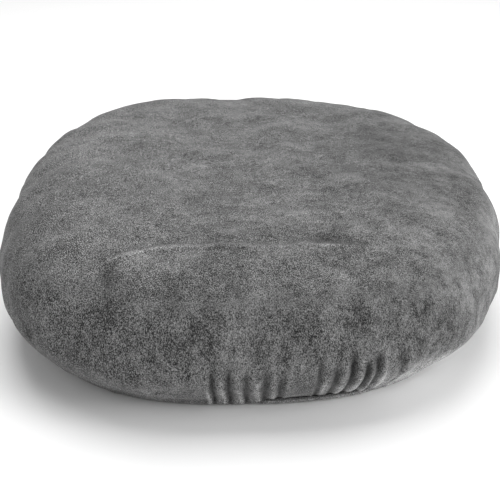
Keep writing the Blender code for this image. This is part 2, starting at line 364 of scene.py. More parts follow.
@dataclass(frozen=True)
class WovenCloth(Finish):
    """Plain weave of warp and weft threads."""

    pitch: float = 0.0011
    unevenness: float = 0.25

    def paint(self, graph: Graph, shader: bpy.types.ShaderNode) -> None:
        """Crossing threads with slubs and a slight change of shade.

        Args:
            graph: The material's nodes.
            shader: Its shader.
        """
        x, y, _ = graph.axes(graph.warp(graph.place(), 60.0, 0.0006))
        warp, weft = x.wave(1.0 / self.pitch), y.wave(1.0 / self.pitch)
        over = (x.wave(0.5 / self.pitch) - 0.5) * (y.wave(0.5 / self.pitch) - 0.5) * 4.0
        threads = warp * over.step(-0.4, 0.4) + weft * over.step(0.4, -0.4)
        slubs = graph.noise(graph.place(), (900.0, 90.0, 90.0), 2.0)
        streaks = graph.noise(graph.place(), (26.0, 700.0, 300.0), 3.0)
        clouds = graph.noise(graph.place(), 16.0, 4.0)
        uneven = (slubs - 0.5) * 2.0 + (streaks - 0.5) * 2.4
        strength = 0.62 + threads * 0.5 + uneven * self.unevenness + (clouds - 0.5) * 0.6
        normal = graph.bump(threads + slubs * 0.5, self.pitch * 0.25, 0.8)
        self.coat(graph, shader, strength, self.roughness - threads * 0.15, normal)
        shader.inputs["Sheen Weight"].default_value = 0.15


@dataclass(frozen=True)
class RibbedTape(Finish):
    """Narrow woven tape with ribs along its length."""

    rib: float = 0.0009

    def paint(self, graph: Graph, shader: bpy.types.ShaderNode) -> None:
        """Ribs along X, crossed by the weft.

        Args:
            graph: The material's nodes.
            shader: Its shader.
        """
        x, y, _ = graph.axes(graph.place())
        ribs = y.wave(1.0 / self.rib)
        picks = (x + y * 0.5).wave(1.0 / (self.rib * 0.7))
        strength = 0.6 + ribs * 0.45 + picks * 0.25
        normal = graph.bump(ribs + picks * 0.6, self.rib * 0.25)
        self.coat(graph, shader, strength, self.roughness - ribs * 0.2, normal)


@dataclass(frozen=True)
class CastMetal(Finish):
    """Plated zinc casting with fine tumbling marks."""

    def paint(self, graph: Graph, shader: bpy.types.ShaderNode) -> None:
        """Scratches, a mottled polish and lighter patches at random.

        Args:
            graph: The material's nodes.
            shader: Its shader.
        """
        shader.inputs["Metallic"].default_value = 1.0
        marks = graph.noise(graph.place(), (2600.0, 700.0, 700.0), 3.0)
        patches = graph.noise(graph.place(), 240.0, 3.0)
        strength = 0.8 + patches * 0.5 + (marks - 0.5) * 0.3
        self.coat(graph, shader, strength, self.roughness + (marks - 0.5) * 0.3, graph.bump(marks, 0.00003))


@dataclass(frozen=True)
class MouldedNylon(Finish):
    """Smooth nylon filament."""

    def paint(self, graph: Graph, shader: bpy.types.ShaderNode) -> None:
        """A slight change of shade and polish along the filament.

        Args:
            graph: The material's nodes.
            shader: Its shader.
        """
        patches = graph.noise(graph.place(), 420.0, 2.0)
        self.coat(graph, shader, 0.8 + patches * 0.4, self.roughness + (patches - 0.5) * 0.3)
        shader.inputs["Coat Weight"].default_value = 0.2


@dataclass(frozen=True)
class OpenFoam(Finish):
    """Cut polyurethane foam with open cells."""

    cell: float = 0.0016

    def paint(self, graph: Graph, shader: bpy.types.ShaderNode) -> None:
        """Round cells of two sizes with painted shade inside them, and a faint saw pattern.

        Args:
            graph: The material's nodes.
            shader: Its shader.
        """
        cells = []
        for size in (self.cell, self.cell * 0.45):
            inputs = {"Vector": graph.place(), "Scale": 1.0 / size}
            cells.append(graph.add("ShaderNodeTexVoronoi", {"feature": "F1"}, inputs))
        open_cells = cells[0].step(0.1, 0.62) * 0.65 + cells[1].step(0.1, 0.6) * 0.35
        clouds = graph.noise(graph.place(), 22.0, 3.0)
        saw = graph.axes(graph.place())[2].wave(1.0 / 0.004)
        # open_cells darkens each cell's middle: painted shade inside the pores.
        strength = 0.62 + open_cells * 0.4 + (clouds - 0.5) * 0.25 + saw * 0.03
        normal = graph.bump(open_cells, self.cell * 0.5)
        self.coat(graph, shader, strength, self.roughness - open_cells * 0.08, normal)
        shader.inputs["Subsurface Weight"].default_value = 0.05


@dataclass(frozen=True)
class FibreBatt(Finish):
    """Loose bonded fibres, mostly lying flat."""

    def paint(self, graph: Graph, shader: bpy.types.ShaderNode) -> None:
        """Tangled strands over soft lumps.

        Args:
            graph: The material's nodes.
            shader: Its shader.
        """
        place = graph.warp(graph.place(), 120.0, 0.004)
        strands = abs(graph.noise(place, (260.0, 900.0, 700.0), 3.0) - 0.5)
        crossing = abs(graph.noise(place, (900.0, 240.0, 700.0), 3.0) - 0.5)
        hairs = strands.step(0.1, 0.0) * 0.5 + crossing.step(0.1, 0.0) * 0.5
        lumps = graph.noise(graph.place(), 38.0, 3.0)
        strength = 0.78 + hairs * 0.22 + (lumps - 0.5) * 0.3
        normal = graph.bump(hairs * 0.4 + lumps * 2.0, 0.0012)
        self.coat(graph, shader, strength, self.roughness - hairs * 0.1, normal)
        shader.inputs["Sheen Weight"].default_value = 0.3


@dataclass(frozen=True)
class SpunThread(Finish):
    """Twisted sewing thread or cord."""

    twist: float = 0.0009

    def paint(self, graph: Graph, shader: bpy.types.ShaderNode) -> None:
        """Slanting plies and loose fluff.

        Args:
            graph: The material's nodes.
            shader: Its shader.
        """
        x, y, z = graph.axes(graph.place())
        plies = (x + y + z * 0.7).wave(1.0 / self.twist)
        fluff = graph.noise(graph.place(), 900.0, 3.0)
        strength = 0.65 + plies * 0.4 + (fluff - 0.5) * 0.4
        normal = graph.bump(plies + fluff * 0.5, self.twist * 0.2)
        self.coat(graph, shader, strength, self.roughness - plies * 0.2, normal)


@dataclass(frozen=True)
class StudioFloor(Finish):
    """Matt white paper that is seen from above and clear from underneath."""

    def paint(self, graph: Graph, shader: bpy.types.ShaderNode) -> None:
        """Faint paper tone, and nothing on the face that looks down.

        Args:
            graph: The material's nodes.
            shader: Its shader.
        """
        tone = graph.noise(graph.place(), 3.0, 2.0)
        graph.feed(shader.inputs["Base Color"], graph.tint(self.colour, 0.985 + tone * 0.03))
        below = graph.add("ShaderNodeNewGeometry", output="Backfacing")
        clear = graph.add("ShaderNodeBsdfTransparent")
        matt = Value(graph, shader.outputs[0])
        shown = graph.add("ShaderNodeMixShader", {}, {0: below, 1: matt, 2: clear})
        graph.feed(graph.tree.nodes["Material Output"].inputs["Surface"], shown)


VELVET = CrushedVelvet("crushed_velvet", (0.110, 0.110, 0.110), Slot.VELVET, 0.86)
# The piping's velvet is painted lighter than the crown's to offset the shade that it sits in near the floor.
PIPING_VELVET_PAINTED_LIGHT = CrushedVelvet("piping_velvet_painted_light", (0.19, 0.19, 0.19), Slot.VELVET, 0.86, patches=2.0, grain=3.0)
BASE_CLOTH = WovenCloth("woven_base", (0.085, 0.085, 0.088), Slot.BASE)
CALICO = WovenCloth("plain_calico", (0.74, 0.69, 0.58), Slot.CALICO, pitch=0.0008, unevenness=0.45)
TAPE = RibbedTape("ribbed_tape", (0.055, 0.055, 0.057), Slot.TAPE)
NYLON = MouldedNylon("coil_nylon", (0.035, 0.035, 0.037), Slot.COIL, 0.35)
ZINC = CastMetal("plated_zinc", (0.46, 0.46, 0.48), Slot.METAL, 0.3)
SOFT_FOAM = OpenFoam("soft_foam", (0.86, 0.80, 0.58), Slot.SOFT_FOAM, 0.95)
FIRM_FOAM = OpenFoam("firm_foam", (0.55, 0.64, 0.74), Slot.FIRM_FOAM, 0.95, cell=0.0012)
BATT = FibreBatt("fibre_batt", (0.86, 0.86, 0.84), Slot.WADDING, 0.98)
COTTON = SpunThread("cotton_cord", (0.74, 0.71, 0.64), Slot.CORD, 0.9)
DARK_THREAD = SpunThread("dark_thread", (0.10, 0.10, 0.10), Slot.BASE, 0.6, twist=0.0004)
PAPER = StudioFloor("studio_paper", (0.90, 0.90, 0.90), Slot.BASE, 0.9)


# ---------------------------------------------------------------- meshes


class Workshop:
    """Makes meshes and curves into pieces that ride on a body."""

    def linked(self, name: str, data: bpy.types.ID) -> bpy.types.Object:
        """Make an object of some data in the scene."""
        made = bpy.data.objects.new(name, data)
        bpy.context.scene.collection.objects.link(made)
        return made

    def mesh(self, name: str, points: np.ndarray, faces: Iterable[Sequence[int]]) -> bpy.types.Object:
        """Make a smooth mesh object.

        Args:
            name: The piece's name.
            points: Its vertices.
            faces: The vertex numbers of each face.

        Returns:
            A mesh object.
        """
        data = bpy.data.meshes.new(name)
        data.from_pydata(np.asarray(points, float).tolist(), [], list(faces))
        data.validate()
        data.shade_smooth()
        return self.linked(name, data)

    def shell(self, name: str, blocks: Sequence[np.ndarray], closed: bool = False) -> bpy.types.Object:
        """Make a mesh object from rings of points.

        Args:
            name: The piece's name.
            blocks: The points of each ring.
            closed: Whether the last ring joins the first.

        Returns:
            A mesh object.
        """
        ends = np.cumsum([len(block) for block in blocks]).tolist()
        rings = [range(end - len(block), end) for end, block in zip(ends, blocks)]
        return self.mesh(name, np.vstack(blocks), ring_faces(rings, closed))

    def slab(self, name: str, lower: np.ndarray, upper: np.ndarray) -> bpy.types.Object:
        """Close a lower and an upper grid of points into one thin body.

        Args:
            name: The piece's name.
            lower: The points of its lower face, in rows.
            upper: The points of its upper face.

        Returns:
            A mesh object.
        """
        rows, columns = lower.shape[:2]
        count = rows * columns
        index = np.arange(count).reshape(rows, columns)
        a, b, c, d = index[:-1, :-1], index[:-1, 1:], index[1:, 1:], index[1:, :-1]
        faces = np.stack([a, d, c, b], -1).reshape(-1, 4).tolist()
        faces += (np.stack([a, b, c, d], -1).reshape(-1, 4) + count).tolist()
        rim = np.array([*index[0, :-1], *index[:-1, -1], *index[-1, :0:-1], *index[:0:-1, 0]])
        after = np.roll(rim, -1)
        faces += np.stack([rim, after, after + count, rim + count], -1).tolist()
        return self.mesh(name, np.vstack([lower.reshape(-1, 3), upper.reshape(-1, 3)]), faces)

    def curve(self, name: str, lines: Sequence[np.ndarray], radius: float,
              sides: int = 6) -> bpy.types.Object:
        """Make one piece from lines of round wire.

        Args:
            name: The piece's name.
            lines: Each wire's points.
            radius: The wire's radius.
            sides: The sides of its section, an even number.

        Returns:
            A curve object.
        """
        data = bpy.data.curves.new(name, "CURVE")
        data.dimensions = "3D"
        data.bevel_depth = radius
        data.bevel_resolution = sides // 2 - 2
        data.use_fill_caps = True
        for line in lines:
            spline = data.splines.new("POLY")
            spline.points.add(len(line) - 1)
            packed = np.c_[line, np.ones(len(line))]
            spline.points.foreach_set("co", packed.astype(np.float32).ravel())
            spline.use_smooth = True
        return self.linked(name, data)

    def plate(self, name: str, outlines: Sequence[np.ndarray], low: float, high: float,
              edge: float) -> bpy.types.Object:
        """Make a level plate with rounded edges.

        Args:
            name: The piece's name.
            outlines: Closed outlines of X and Y; one inside another is a hole.
            low: The plate's lowest height.
            high: The plate's highest height.
            edge: The radius of its edges.

        Returns:
            A mesh object.
        """
        data = bpy.data.curves.new(name, "CURVE")
        data.dimensions = "2D"
        data.fill_mode = "BOTH"
        data.extrude = (high - low) / 2 - edge
        data.bevel_depth = edge
        data.bevel_resolution = 2
        data.offset = -edge
        for outline in outlines:
            spline = data.splines.new("POLY")
            spline.points.add(len(outline) - 1)
            packed = np.c_[outline, np.zeros(len(outline)), np.ones(len(outline))]
            spline.points.foreach_set("co", packed.astype(np.float32).ravel())
            spline.use_cyclic_u = True
        source = self.linked(name, data)
        source.location.z = (low + high) / 2
        return self.to_mesh(source)

    def to_mesh(self, source: bpy.types.Object) -> bpy.types.Object:
        """Replace an object by the mesh that it and its modifiers make, placed at the origin.

        Args:
            source: A curve or mesh object, which is removed.

        Returns:
            A mesh object of the same name.
        """
        bpy.context.view_layer.update()
        graph = bpy.context.evaluated_depsgraph_get()
        data = bpy.data.meshes.new_from_object(source.evaluated_get(graph))
        data.transform(source.matrix_world)
        form = bmesh.new()
        form.from_mesh(data)
        bmesh.ops.remove_doubles(form, verts=form.verts, dist=1e-6)
        form.to_mesh(data)
        form.free()
        name = source.name
        bpy.data.objects.remove(source, do_unlink=True)
        return self.linked(name, data)

    def joined(self, name: str, parts: Sequence[bpy.types.Object]) -> bpy.types.Object:
        """Join mesh objects into one piece.

        Args:
            name: The piece's name.
            parts: The objects, which are removed.

        Returns:
            A mesh object.
        """
        form = bmesh.new()
        for part in parts:
            form.from_mesh(part.data)
        data = bpy.data.meshes.new(name)
        form.to_mesh(data)
        form.free()
        for part in parts:
            bpy.data.objects.remove(part, do_unlink=True)
        data.shade_smooth()
        data.set_sharp_from_angle(angle=SHARP_ANGLE)
        return self.linked(name, data)

    def place(self, piece: bpy.types.Object, body: Body, finish: Finish, *nodes: str) -> bpy.types.Object:
        """Dress a piece, let it ride on its body and let it stand for its solids.

        Args:
            piece: The piece.
            body: The body that it rides on.
            finish: Its finish.
            nodes: The solids that it replaces.

        Returns:
            The piece.
        """
        finish.dress(piece)
        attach(piece, body.value)
        if nodes:
            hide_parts(*nodes)
        LOG.info("%s rides on %s", piece.name, body.value)
        return piece


SHOP = Workshop()


def ring_faces(rings: Sequence[Sequence[int]], closed: bool = False) -> list[tuple[int, ...]]:
    """Faces between neighbouring rings of vertices, which may be three times finer from one to the next.

    Args:
        rings: The vertex numbers of each ring.
        closed: Whether the last ring joins the first.

    Returns:
        The faces, facing out where the rings run down an outer side and anticlockwise.
    """
    faces: list[tuple[int, ...]] = []
    pairs = list(zip(rings, rings[1:])) + ([(rings[-1], rings[0])] if closed else [])
    for upper, lower in pairs:
        n, m = len(upper), len(lower)
        if n == 1:
            faces += [(upper[0], lower[i], lower[(i + 1) % m]) for i in range(m)]
        elif m == 1:
            faces += [(upper[i], lower[0], upper[(i + 1) % n]) for i in range(n)]
        elif n == m:
            faces += [(upper[i], lower[i], lower[(i + 1) % m], upper[(i + 1) % n]) for i in range(n)]
        elif m > n:
            k = m // n
            for i in range(n):
                fan = tuple(lower[(k * i + j) % m] for j in range(k + 1))
                faces.append((upper[i], *fan, upper[(i + 1) % n]))
        else:
            k = n // m
            for i in range(m):
                fan = tuple(upper[(k * i + j) % n] for j in range(k, -1, -1))
                faces.append((lower[i], lower[(i + 1) % m], *fan))
    return faces


def smooth_fall(value: np.ndarray, full: float, gone: float) -> np.ndarray:
    """1 at full and 0 at gone, with a smooth change between them."""
    share = np.clip((gone - value) / (gone - full), 0.0, 1.0)
    return share * share * (3.0 - 2.0 * share)


@dataclass(frozen=True)
class SoftNoise:
    """Smooth random waves, the same ones each time."""

    wavelength: float
    seed: int
    count: int = 14

    def __call__(self, points: np.ndarray) -> np.ndarray:
        """The waves at points, mostly between -1 and 1.

        Args:
            points: Points.

        Returns:
            The waves' heights.
        """
        draw = np.random.default_rng(self.seed)
        ways = draw.normal(size=(self.count, 3))
        ways /= np.linalg.norm(ways, axis=1)[:, None]
        ways *= math.tau / (self.wavelength * draw.uniform(0.75, 1.5, self.count))[:, None]
        phases = draw.uniform(0, math.tau, self.count)
        return np.sin(points @ ways.T + phases).sum(-1) / math.sqrt(self.count)


# ---------------------------------------------------------------- the cushion's form


@dataclass(frozen=True)
class CushionForm:
    """The cushion's rounded-square dome: a side profile carried round a superellipse.

    A used cushion isn't quite even: its outline leans to a rounded triangle and its back stands a
    little higher. settled() gives any point of the cushion that slight change.
    """

    half_width: float
    height: float
    bulge_height: float = 0.072
    plan_power: float = 2.65
    under_roll: float = 0.0456
    under_power: float = 1.735
    under_level: float = 0.0063
    triangle: tuple[float, float] = (0.0164, 0.0038)
    tilt: float = 0.0249
    samples: int = 900

    def profile(self) -> np.ndarray:
        """Radius and height down the side, from the top centre to the hem.

        Returns:
            The points, one row each.
        """
        turn = np.linspace(0.0, math.pi / 2, self.samples)
        across, up = np.sin(turn) ** 6, np.clip(np.cos(turn), 0.0, 1.0) ** 3
        reach = (2.0 / (up + np.sqrt(up * up + 4.0 * across))) ** (1.0 / 3.0)
        upper = np.c_[
            self.half_width * reach * np.sin(turn),
            self.bulge_height + (self.height - self.bulge_height) * reach * np.cos(turn),
        ]
        share = np.linspace(0.0, 1.0, self.samples // 2)[1:]
        lower = np.c_[
            self.half_width - self.under_roll * share**self.under_power,
            self.bulge_height - (self.bulge_height - self.under_level) * share,
        ]
        return np.vstack([upper, lower])

    def lengths(self) -> np.ndarray:
        """Distance down the side at each point of the profile."""
        steps = np.linalg.norm(np.diff(self.profile(), axis=0), axis=1)
        return np.concatenate([[0.0], np.cumsum(steps)])

    def stretch(self, turn: np.ndarray) -> np.ndarray:
        """How far the plan reaches in a direction, as a share of the half width."""
        power = np.abs(np.cos(turn)) ** self.plan_power + np.abs(np.sin(turn)) ** self.plan_power
        return power ** (-1.0 / self.plan_power)

    def half_depth(self, share: np.ndarray) -> np.ndarray:
        """Half depth of the plan, as a share of the half width, at a share of the half width."""
        return (1.0 - np.abs(share) ** self.plan_power) ** (1.0 / self.plan_power)

    def settled(self, points: np.ndarray) -> np.ndarray:
        """Points of any layer, moved as the whole cushion has settled; the middle of the base stays.

        Args:
            points: Points.

        Returns:
            The moved points.
        """
        points = np.asarray(points, float)
        turn = np.arctan2(points[..., 1], points[..., 0])
        reach = np.hypot(points[..., 0], points[..., 1]) / (self.half_width * self.stretch(turn))
        spread = self.triangle[0] * np.cos(3.0 * turn) + self.triangle[1] * np.sin(3.0 * turn)
        grow = 1.0 + spread * smooth_fall(-reach, -0.85, -0.72)
        lift = 1.0 + self.tilt * np.sin(turn) * np.minimum(reach, 1.0)
        return points * np.stack([grow, grow, lift], -1)

    def surface(self, down: np.ndarray, turn: np.ndarray) -> np.ndarray:
        """Points of the outer surface.

        Args:
            down: Distances down the side from the top centre.
            turn: Directions round Z, in radians.

        Returns:
            Points, one for each pair.
        """
        profile, lengths = self.profile(), self.lengths()
        radius = np.interp(down, lengths, profile[:, 0]) * self.stretch(turn)
        height = np.interp(down, lengths, profile[:, 1])
        return np.stack([radius * np.cos(turn), radius * np.sin(turn), height], -1)

    def normal(self, down: np.ndarray, turn: np.ndarray) -> np.ndarray:
        """Outward directions at the same points.

        Args:
            down: Distances down the side from the top centre.
            turn: Directions round Z, in radians.

        Returns:
            Unit vectors.
        """
        step = 0.0012
        last = self.lengths()[-1]
        before, after = np.clip(down - step, 1e-5, last), np.clip(down + step, 1e-5, last)
        along = self.surface(after, turn) - self.surface(before, turn)
        near = np.maximum(down, 2e-3)
        around = self.surface(near, turn + step) - self.surface(near, turn - step)
        out = np.cross(along, around)
        return out / np.maximum(np.linalg.norm(out, axis=-1, keepdims=True), 1e-12)

    def rim(self, radius: float, turn: np.ndarray, out: Union[float, np.ndarray] = 0.0) -> np.ndarray:
        """Points in plan on the outline with that half width, moved out by distances square to it.

        Args:
            radius: Half the outline's width.
            turn: Directions round Z, in radians.
            out: How far the points are moved out.

        Returns:
            Points in plan.
        """
        def line(t: np.ndarray) -> np.ndarray:
            """Points on the outline itself."""
            reach = radius * self.stretch(t)
            return np.stack([reach * np.cos(t), reach * np.sin(t)], -1)

        along = line(turn + 1e-4) - line(turn - 1e-4)
        along /= np.linalg.norm(along, axis=-1, keepdims=True)
        return line(turn) + np.asarray(out)[..., None] * np.stack([along[..., 1], -along[..., 0]], -1)

    def place_along(self, radius: float, turn: np.ndarray) -> np.ndarray:
        """Distance round the outline with that half width, from the front centre towards +X.

        Args:
            radius: Half the outline's width.
            turn: Directions round Z, in radians.

        Returns:
            The distances.
        """
        fine = np.linspace(-math.pi / 2, 1.5 * math.pi, 4001)
        points = self.rim(radius, fine)
        run = np.concatenate([[0.0], np.cumsum(np.linalg.norm(np.diff(points, axis=0), axis=1))])
        turned = np.mod(turn + math.pi / 2, math.tau) - math.pi / 2
        return np.interp(turned, fine, run)


@dataclass(frozen=True)
class Gather:
    """One tuck of velvet drawn in at the hem: a valley that runs up the side.

    It stands at a place along the hem and leans as it climbs; its valley gets painted shade and its puff on
    the lit side a painted highlight.
    """

    FULL_DEPTH: ClassVar[float] = 0.003
    place: float
    depth: float
    reach: float
    width: float
    lean: float
    lit_side: float = 1.0

    def across(self, along: np.ndarray, above: np.ndarray, round_: float) -> np.ndarray:
        """Distance from the middle of the valley, in widths, which grow up the side.

        Args:
            along: Places along the hem.
            above: Distances up from the hem.
            round_: The hem's length.

        Returns:
            The signed distance in widths.
        """
        off = along - self.place - self.lean * above * (1.0 - above / 0.16)
        off = (off + round_ / 2) % round_ - round_ / 2
        return off / (self.width * (1.0 + 3.5 * above))

    def strength(self, above: np.ndarray) -> np.ndarray:
        """How much of the gather there is at a height: pinned at the seam and gone at its reach."""
        pinned = 0.2 + 0.8 * smooth_fall(-above, -0.014, 0.0)
        return smooth_fall(above, 0.74 * self.reach, self.reach) * pinned

    def sink(self, along: np.ndarray, above: np.ndarray, round_: float) -> np.ndarray:
        """Outward moves of the velvet: below zero in the valley, above zero in the puffs beside it.

        Args:
            along: Places along the hem.
            above: Distances up from the hem.
            round_: The hem's length.

        Returns:
            The moves.
        """
        share = self.across(along, above, round_)
        puffs = np.exp(-((np.abs(share) - 2.0) ** 2) / 0.9)
        return self.depth * self.strength(above) * (0.4 * puffs - np.exp(-share * share))

    def painted_light_and_shade(self, along: np.ndarray, above: np.ndarray, round_: float) -> np.ndarray:
        """Painted shade in the valley and a painted highlight on the puff to its lit side.

        Args:
            along: Places along the hem.
            above: Distances up from the hem.
            round_: The hem's length.

        Returns:
            The painted shade, below zero, and the painted highlight, above zero.
        """
        share = self.across(along, above, round_)
        dark = np.exp(-(share**2) / 1.3) * smooth_fall(above, 0.8 * self.reach, self.reach)
        light = np.exp(-((share - 2.3 * self.lit_side) ** 2) / 0.55)
        light = light * smooth_fall(above, 0.2 * self.reach, self.reach)
        # The painted highlight is stronger near the seam, where light bounced from the floor falls.
        bright = 1.3 + 2.4 * smooth_fall(above, 0.01, 0.08)
        return self.depth / self.FULL_DEPTH * (bright * light - 0.85 * dark)


@dataclass(frozen=True)
class PaintedLightPatch:
    """A broad patch of painted light, where its amount is above zero, and painted shade, where it is below
    zero.
    """

    place: tuple[float, float, float]
    size: tuple[float, float, float]
    amount: float

    def painted_light_and_shade(self, points: np.ndarray) -> np.ndarray:
        """The patch's painted light and shade at points."""
        off = (points - np.array(self.place)) / np.array(self.size)
        return self.amount * np.exp(-(off**2).sum(-1))


@dataclass
class VelvetCover:
    """The velvet crown with its gathers, its crease and its corded piping."""

    form: CushionForm
    coarse: int = 400
    fine: int = 1200
    band: float = 0.115
    velvet: float = 0.0020
    hem_ease: float = 0.0050
    piping_radius: float = 0.253
    piping_level: float = 0.0035
    sleeve_radius: float = 0.0028
    cord_radius: float = 0.0017
    tail_end: float = 0.243
    flange_level: float = 0.0066
    front_gathers: tuple[float, ...] = (-0.033, -0.017, 0.000, 0.019, 0.034)
    corner_gathers: tuple[float, ...] = (0.073, 0.088, 0.102, 0.1155, 0.129, 0.150)
    # Broad painted light and shade: darker on the left, the front and the top right, lighter on the right
    # side and low at the front right, where light bounced from the floor falls.
    painted_light_patches: tuple[PaintedLightPatch, ...] = (
        PaintedLightPatch((0.19, 0.03, 0.170), (0.08, 0.13, 0.05), -0.34),
        PaintedLightPatch((0.205, -0.225, 0.026), (0.075, 0.070, 0.026), 3.20),
        PaintedLightPatch((0.29, -0.06, 0.110), (0.03, 0.12, 0.05), 0.15),
        PaintedLightPatch((-0.19, -0.23, 0.060), (0.09, 0.06, 0.05), -0.20),
        PaintedLightPatch((-0.26, -0.12, 0.110), (0.08, 0.12, 0.07), -0.38),
        PaintedLightPatch((0.02, -0.24, 0.130), (0.12, 0.05, 0.03), -0.08),
    )
    gathers: list[Gather] = field(default_factory=list)
    simulated: Optional[Reading] = None

    def plan_gathers(self) -> None:
        """Place the gathers round the hem: two stated groups in front, the rest at random."""
        draw = np.random.default_rng(41)
        round_ = self.hem_length()
        for place in self.front_gathers:
            depth, reach = draw.uniform(0.0014, 0.0027), draw.uniform(0.080, 0.103)
            self.gathers.append(Gather(place, depth, reach, draw.uniform(0.0019, 0.0028), -3.0 * place, -1.0))
        for place in self.corner_gathers:
            deeper = float(smooth_fall(np.array(-place), -0.1, -0.07))
            last = float(smooth_fall(np.array(place), 0.130, 0.149))
            depth = (0.0012 + 0.0018 * deeper + draw.uniform(0.0, 0.0006)) * (0.55 + 0.45 * last)
            reach, width = draw.uniform(0.094, 0.112), draw.uniform(0.0021, 0.0028)
            self.gathers.append(Gather(place, depth, reach, width, draw.uniform(-0.34, -0.2)))
        place = 0.25
        while place < round_ - 0.30:
            depth, reach = draw.uniform(0.0008, 0.0030), draw.uniform(0.055, 0.105)
            width, lean = draw.uniform(0.0024, 0.0034), draw.uniform(-0.25, 0.25)
            self.gathers.append(Gather(place, depth, reach, width, lean))
            place += draw.uniform(0.0145, 0.026)

    def hem_length(self) -> float:
        """Length of the hem round the cushion."""
        return float(self.form.place_along(self.piping_radius, np.array([1.4999 * math.pi]))[0])

    def seam_lift(self, turn: np.ndarray) -> np.ndarray:
        """How far the seam is rolled up to show the piping, from 0 to 1: only at the front right."""
        along = self.form.place_along(self.piping_radius, turn)
        return smooth_fall(-along, -0.030, 0.0) * smooth_fall(along, 0.122, 0.150)

    def crease(self, points: np.ndarray) -> tuple[np.ndarray, np.ndarray]:
        """The crease where the top breaks over the foam's front edge: outward moves, and its painted light
        and shade.

        Args:
            points: Points of the plain form.

        Returns:
            The moves, and the painted highlight along the crease with painted shade behind it and in a fold.
        """
        x, y = points[..., 0], points[..., 1]
        bend = np.clip((-x - 0.095) / 0.042, 0.0, 3.0)
        off = y + 0.216 - 0.04 * np.maximum(x, 0.0) + 0.0145 * bend**1.4
        across = smooth_fall(np.abs(x + 0.004), 0.115, 0.165) * (y < 0.0)
        ridge = 0.0012 * np.exp(-((off / 0.0042) ** 2)) - 0.0013 * np.exp(-(((off - 0.011) / 0.008) ** 2))
        # Painted shade in a hollow behind the crease on the right, and in a fold at the front left.
        hollow = np.exp(-(((x - 0.085) / 0.026) ** 2) - ((off - 0.015) / 0.011) ** 2)
        fold = np.exp(-(((x + 0.136) / 0.013) ** 2) - ((y + 0.245 + 0.7 * (x + 0.136)) / 0.012) ** 2)
        plain = 0.25 + 0.9 * np.exp(-(((x + 0.100) / 0.035) ** 2))
        plain = plain + 0.5 * np.exp(-(((x - 0.082) / 0.026) ** 2))
        # A painted highlight along the crease line, with painted shade just behind it.
        line = 0.75 * np.exp(-((off / 0.0021) ** 2)) - 0.25 * np.exp(-(((off - 0.007) / 0.006) ** 2))
        return ridge * across, line * plain * across - 0.36 * hollow - 0.5 * fold

    def relief(self, down: np.ndarray, turn: np.ndarray, points: np.ndarray) -> np.ndarray:
        """Outward moves of the velvet from the plain form.

        Args:
            down: Distances down the side.
            turn: Directions round Z.
            points: The plain form's points.

        Returns:
            Outward moves.
        """
        above = self.form.lengths()[-1] - down
        along = self.form.place_along(self.piping_radius, turn)
        body = smooth_fall(-above, -0.03, 0.0)
        moves = (0.0012 * SoftNoise(0.11, 5)(points) + 0.0005 * SoftNoise(0.035, 6)(points)) * body
        moves = moves + self.crease(points)[0]
        for gather in self.gathers:
            moves = moves + gather.sink(along, above, self.hem_length())
        if self.simulated is not None:
            moves = moves + self.simulated(down, turn) * smooth_fall(-above, -0.09, -0.03)
        return moves

    def painted_light_and_shade(self, down: np.ndarray, turn: np.ndarray) -> np.ndarray:
        """Painted light and shade at points of the outer face: below zero painted shade, above zero painted
        light.

        Args:
            down: Distances down the side from the top centre.
            turn: Directions round Z, in radians.

        Returns:
            The painted light and shade.
        """
        points = self.form.surface(down, turn)
        above = self.form.lengths()[-1] - down
        along = self.form.place_along(self.piping_radius, turn)
        painted_tone = self.crease(points)[1]
        for gather in self.gathers:
            painted_tone = painted_tone + gather.painted_light_and_shade(along, above, self.hem_length())
        for mark in self.painted_light_patches:
            painted_tone = painted_tone + mark.painted_light_and_shade(points)
        return np.clip(painted_tone, -0.85, 3.6)

    def outer(self, down: np.ndarray, turn: np.ndarray) -> np.ndarray:
        """Points of the velvet's outer face.

        Args:
            down: Distances down the side from the top centre.
            turn: Directions round Z, in radians.

        Returns:
            The points.
        """
        points = self.form.surface(down, turn)
        normals = self.form.normal(down, turn)
        moved = points + normals * self.relief(down, turn, points)[..., None]
        above = self.form.lengths()[-1] - down
        lift, low = self.seam_lift(turn), smooth_fall(above, 0.0, 0.022)
        moved[..., 2] += (0.0040 * lift - 0.0034 * (1.0 - lift)) * low
        puff = (1.0 + 0.011 * low * (1.0 - lift) + 0.006 * low * lift)[..., None]
        moved[..., :2] *= puff
        return self.form.settled(moved)

    def ring_places(self) -> tuple[np.ndarray, np.ndarray]:
        """Distances down the side of the coarse rings and of the fine rings near the hem.

        Returns:
            The two lists of distances.
        """
        last = self.form.lengths()[-1]
        start = last - self.band
        plain_top = np.arange(0.008, 0.208, 0.008)
        crease = np.arange(plain_top[-1] + 0.0014, 0.260, 0.0014)
        count = math.ceil((start - crease[-1]) / 0.0044)
        side = np.linspace(crease[-1], start, count + 1)[1:]
        fine_count = math.ceil(self.band / 0.0028)
        return np.concatenate([plain_top, crease, side]), np.linspace(start, last, fine_count + 1)[1:]

    def build_crown(self) -> None:
        """Make the velvet crown: outer face, hem turned in over the piping, and inner face."""
        coarse_turn = np.linspace(0.0, math.tau, self.coarse, endpoint=False)
        fine_turn = np.linspace(0.0, math.tau, self.fine, endpoint=False)
        coarse_downs, fine_downs = self.ring_places()
        places = [(np.zeros(1), np.zeros(1))]
        places += [(np.full(self.coarse, down), coarse_turn) for down in coarse_downs]
        places += [(np.full(self.fine, down), fine_turn) for down in fine_downs]
        blocks = [self.outer(down, turn) for down, turn in places]
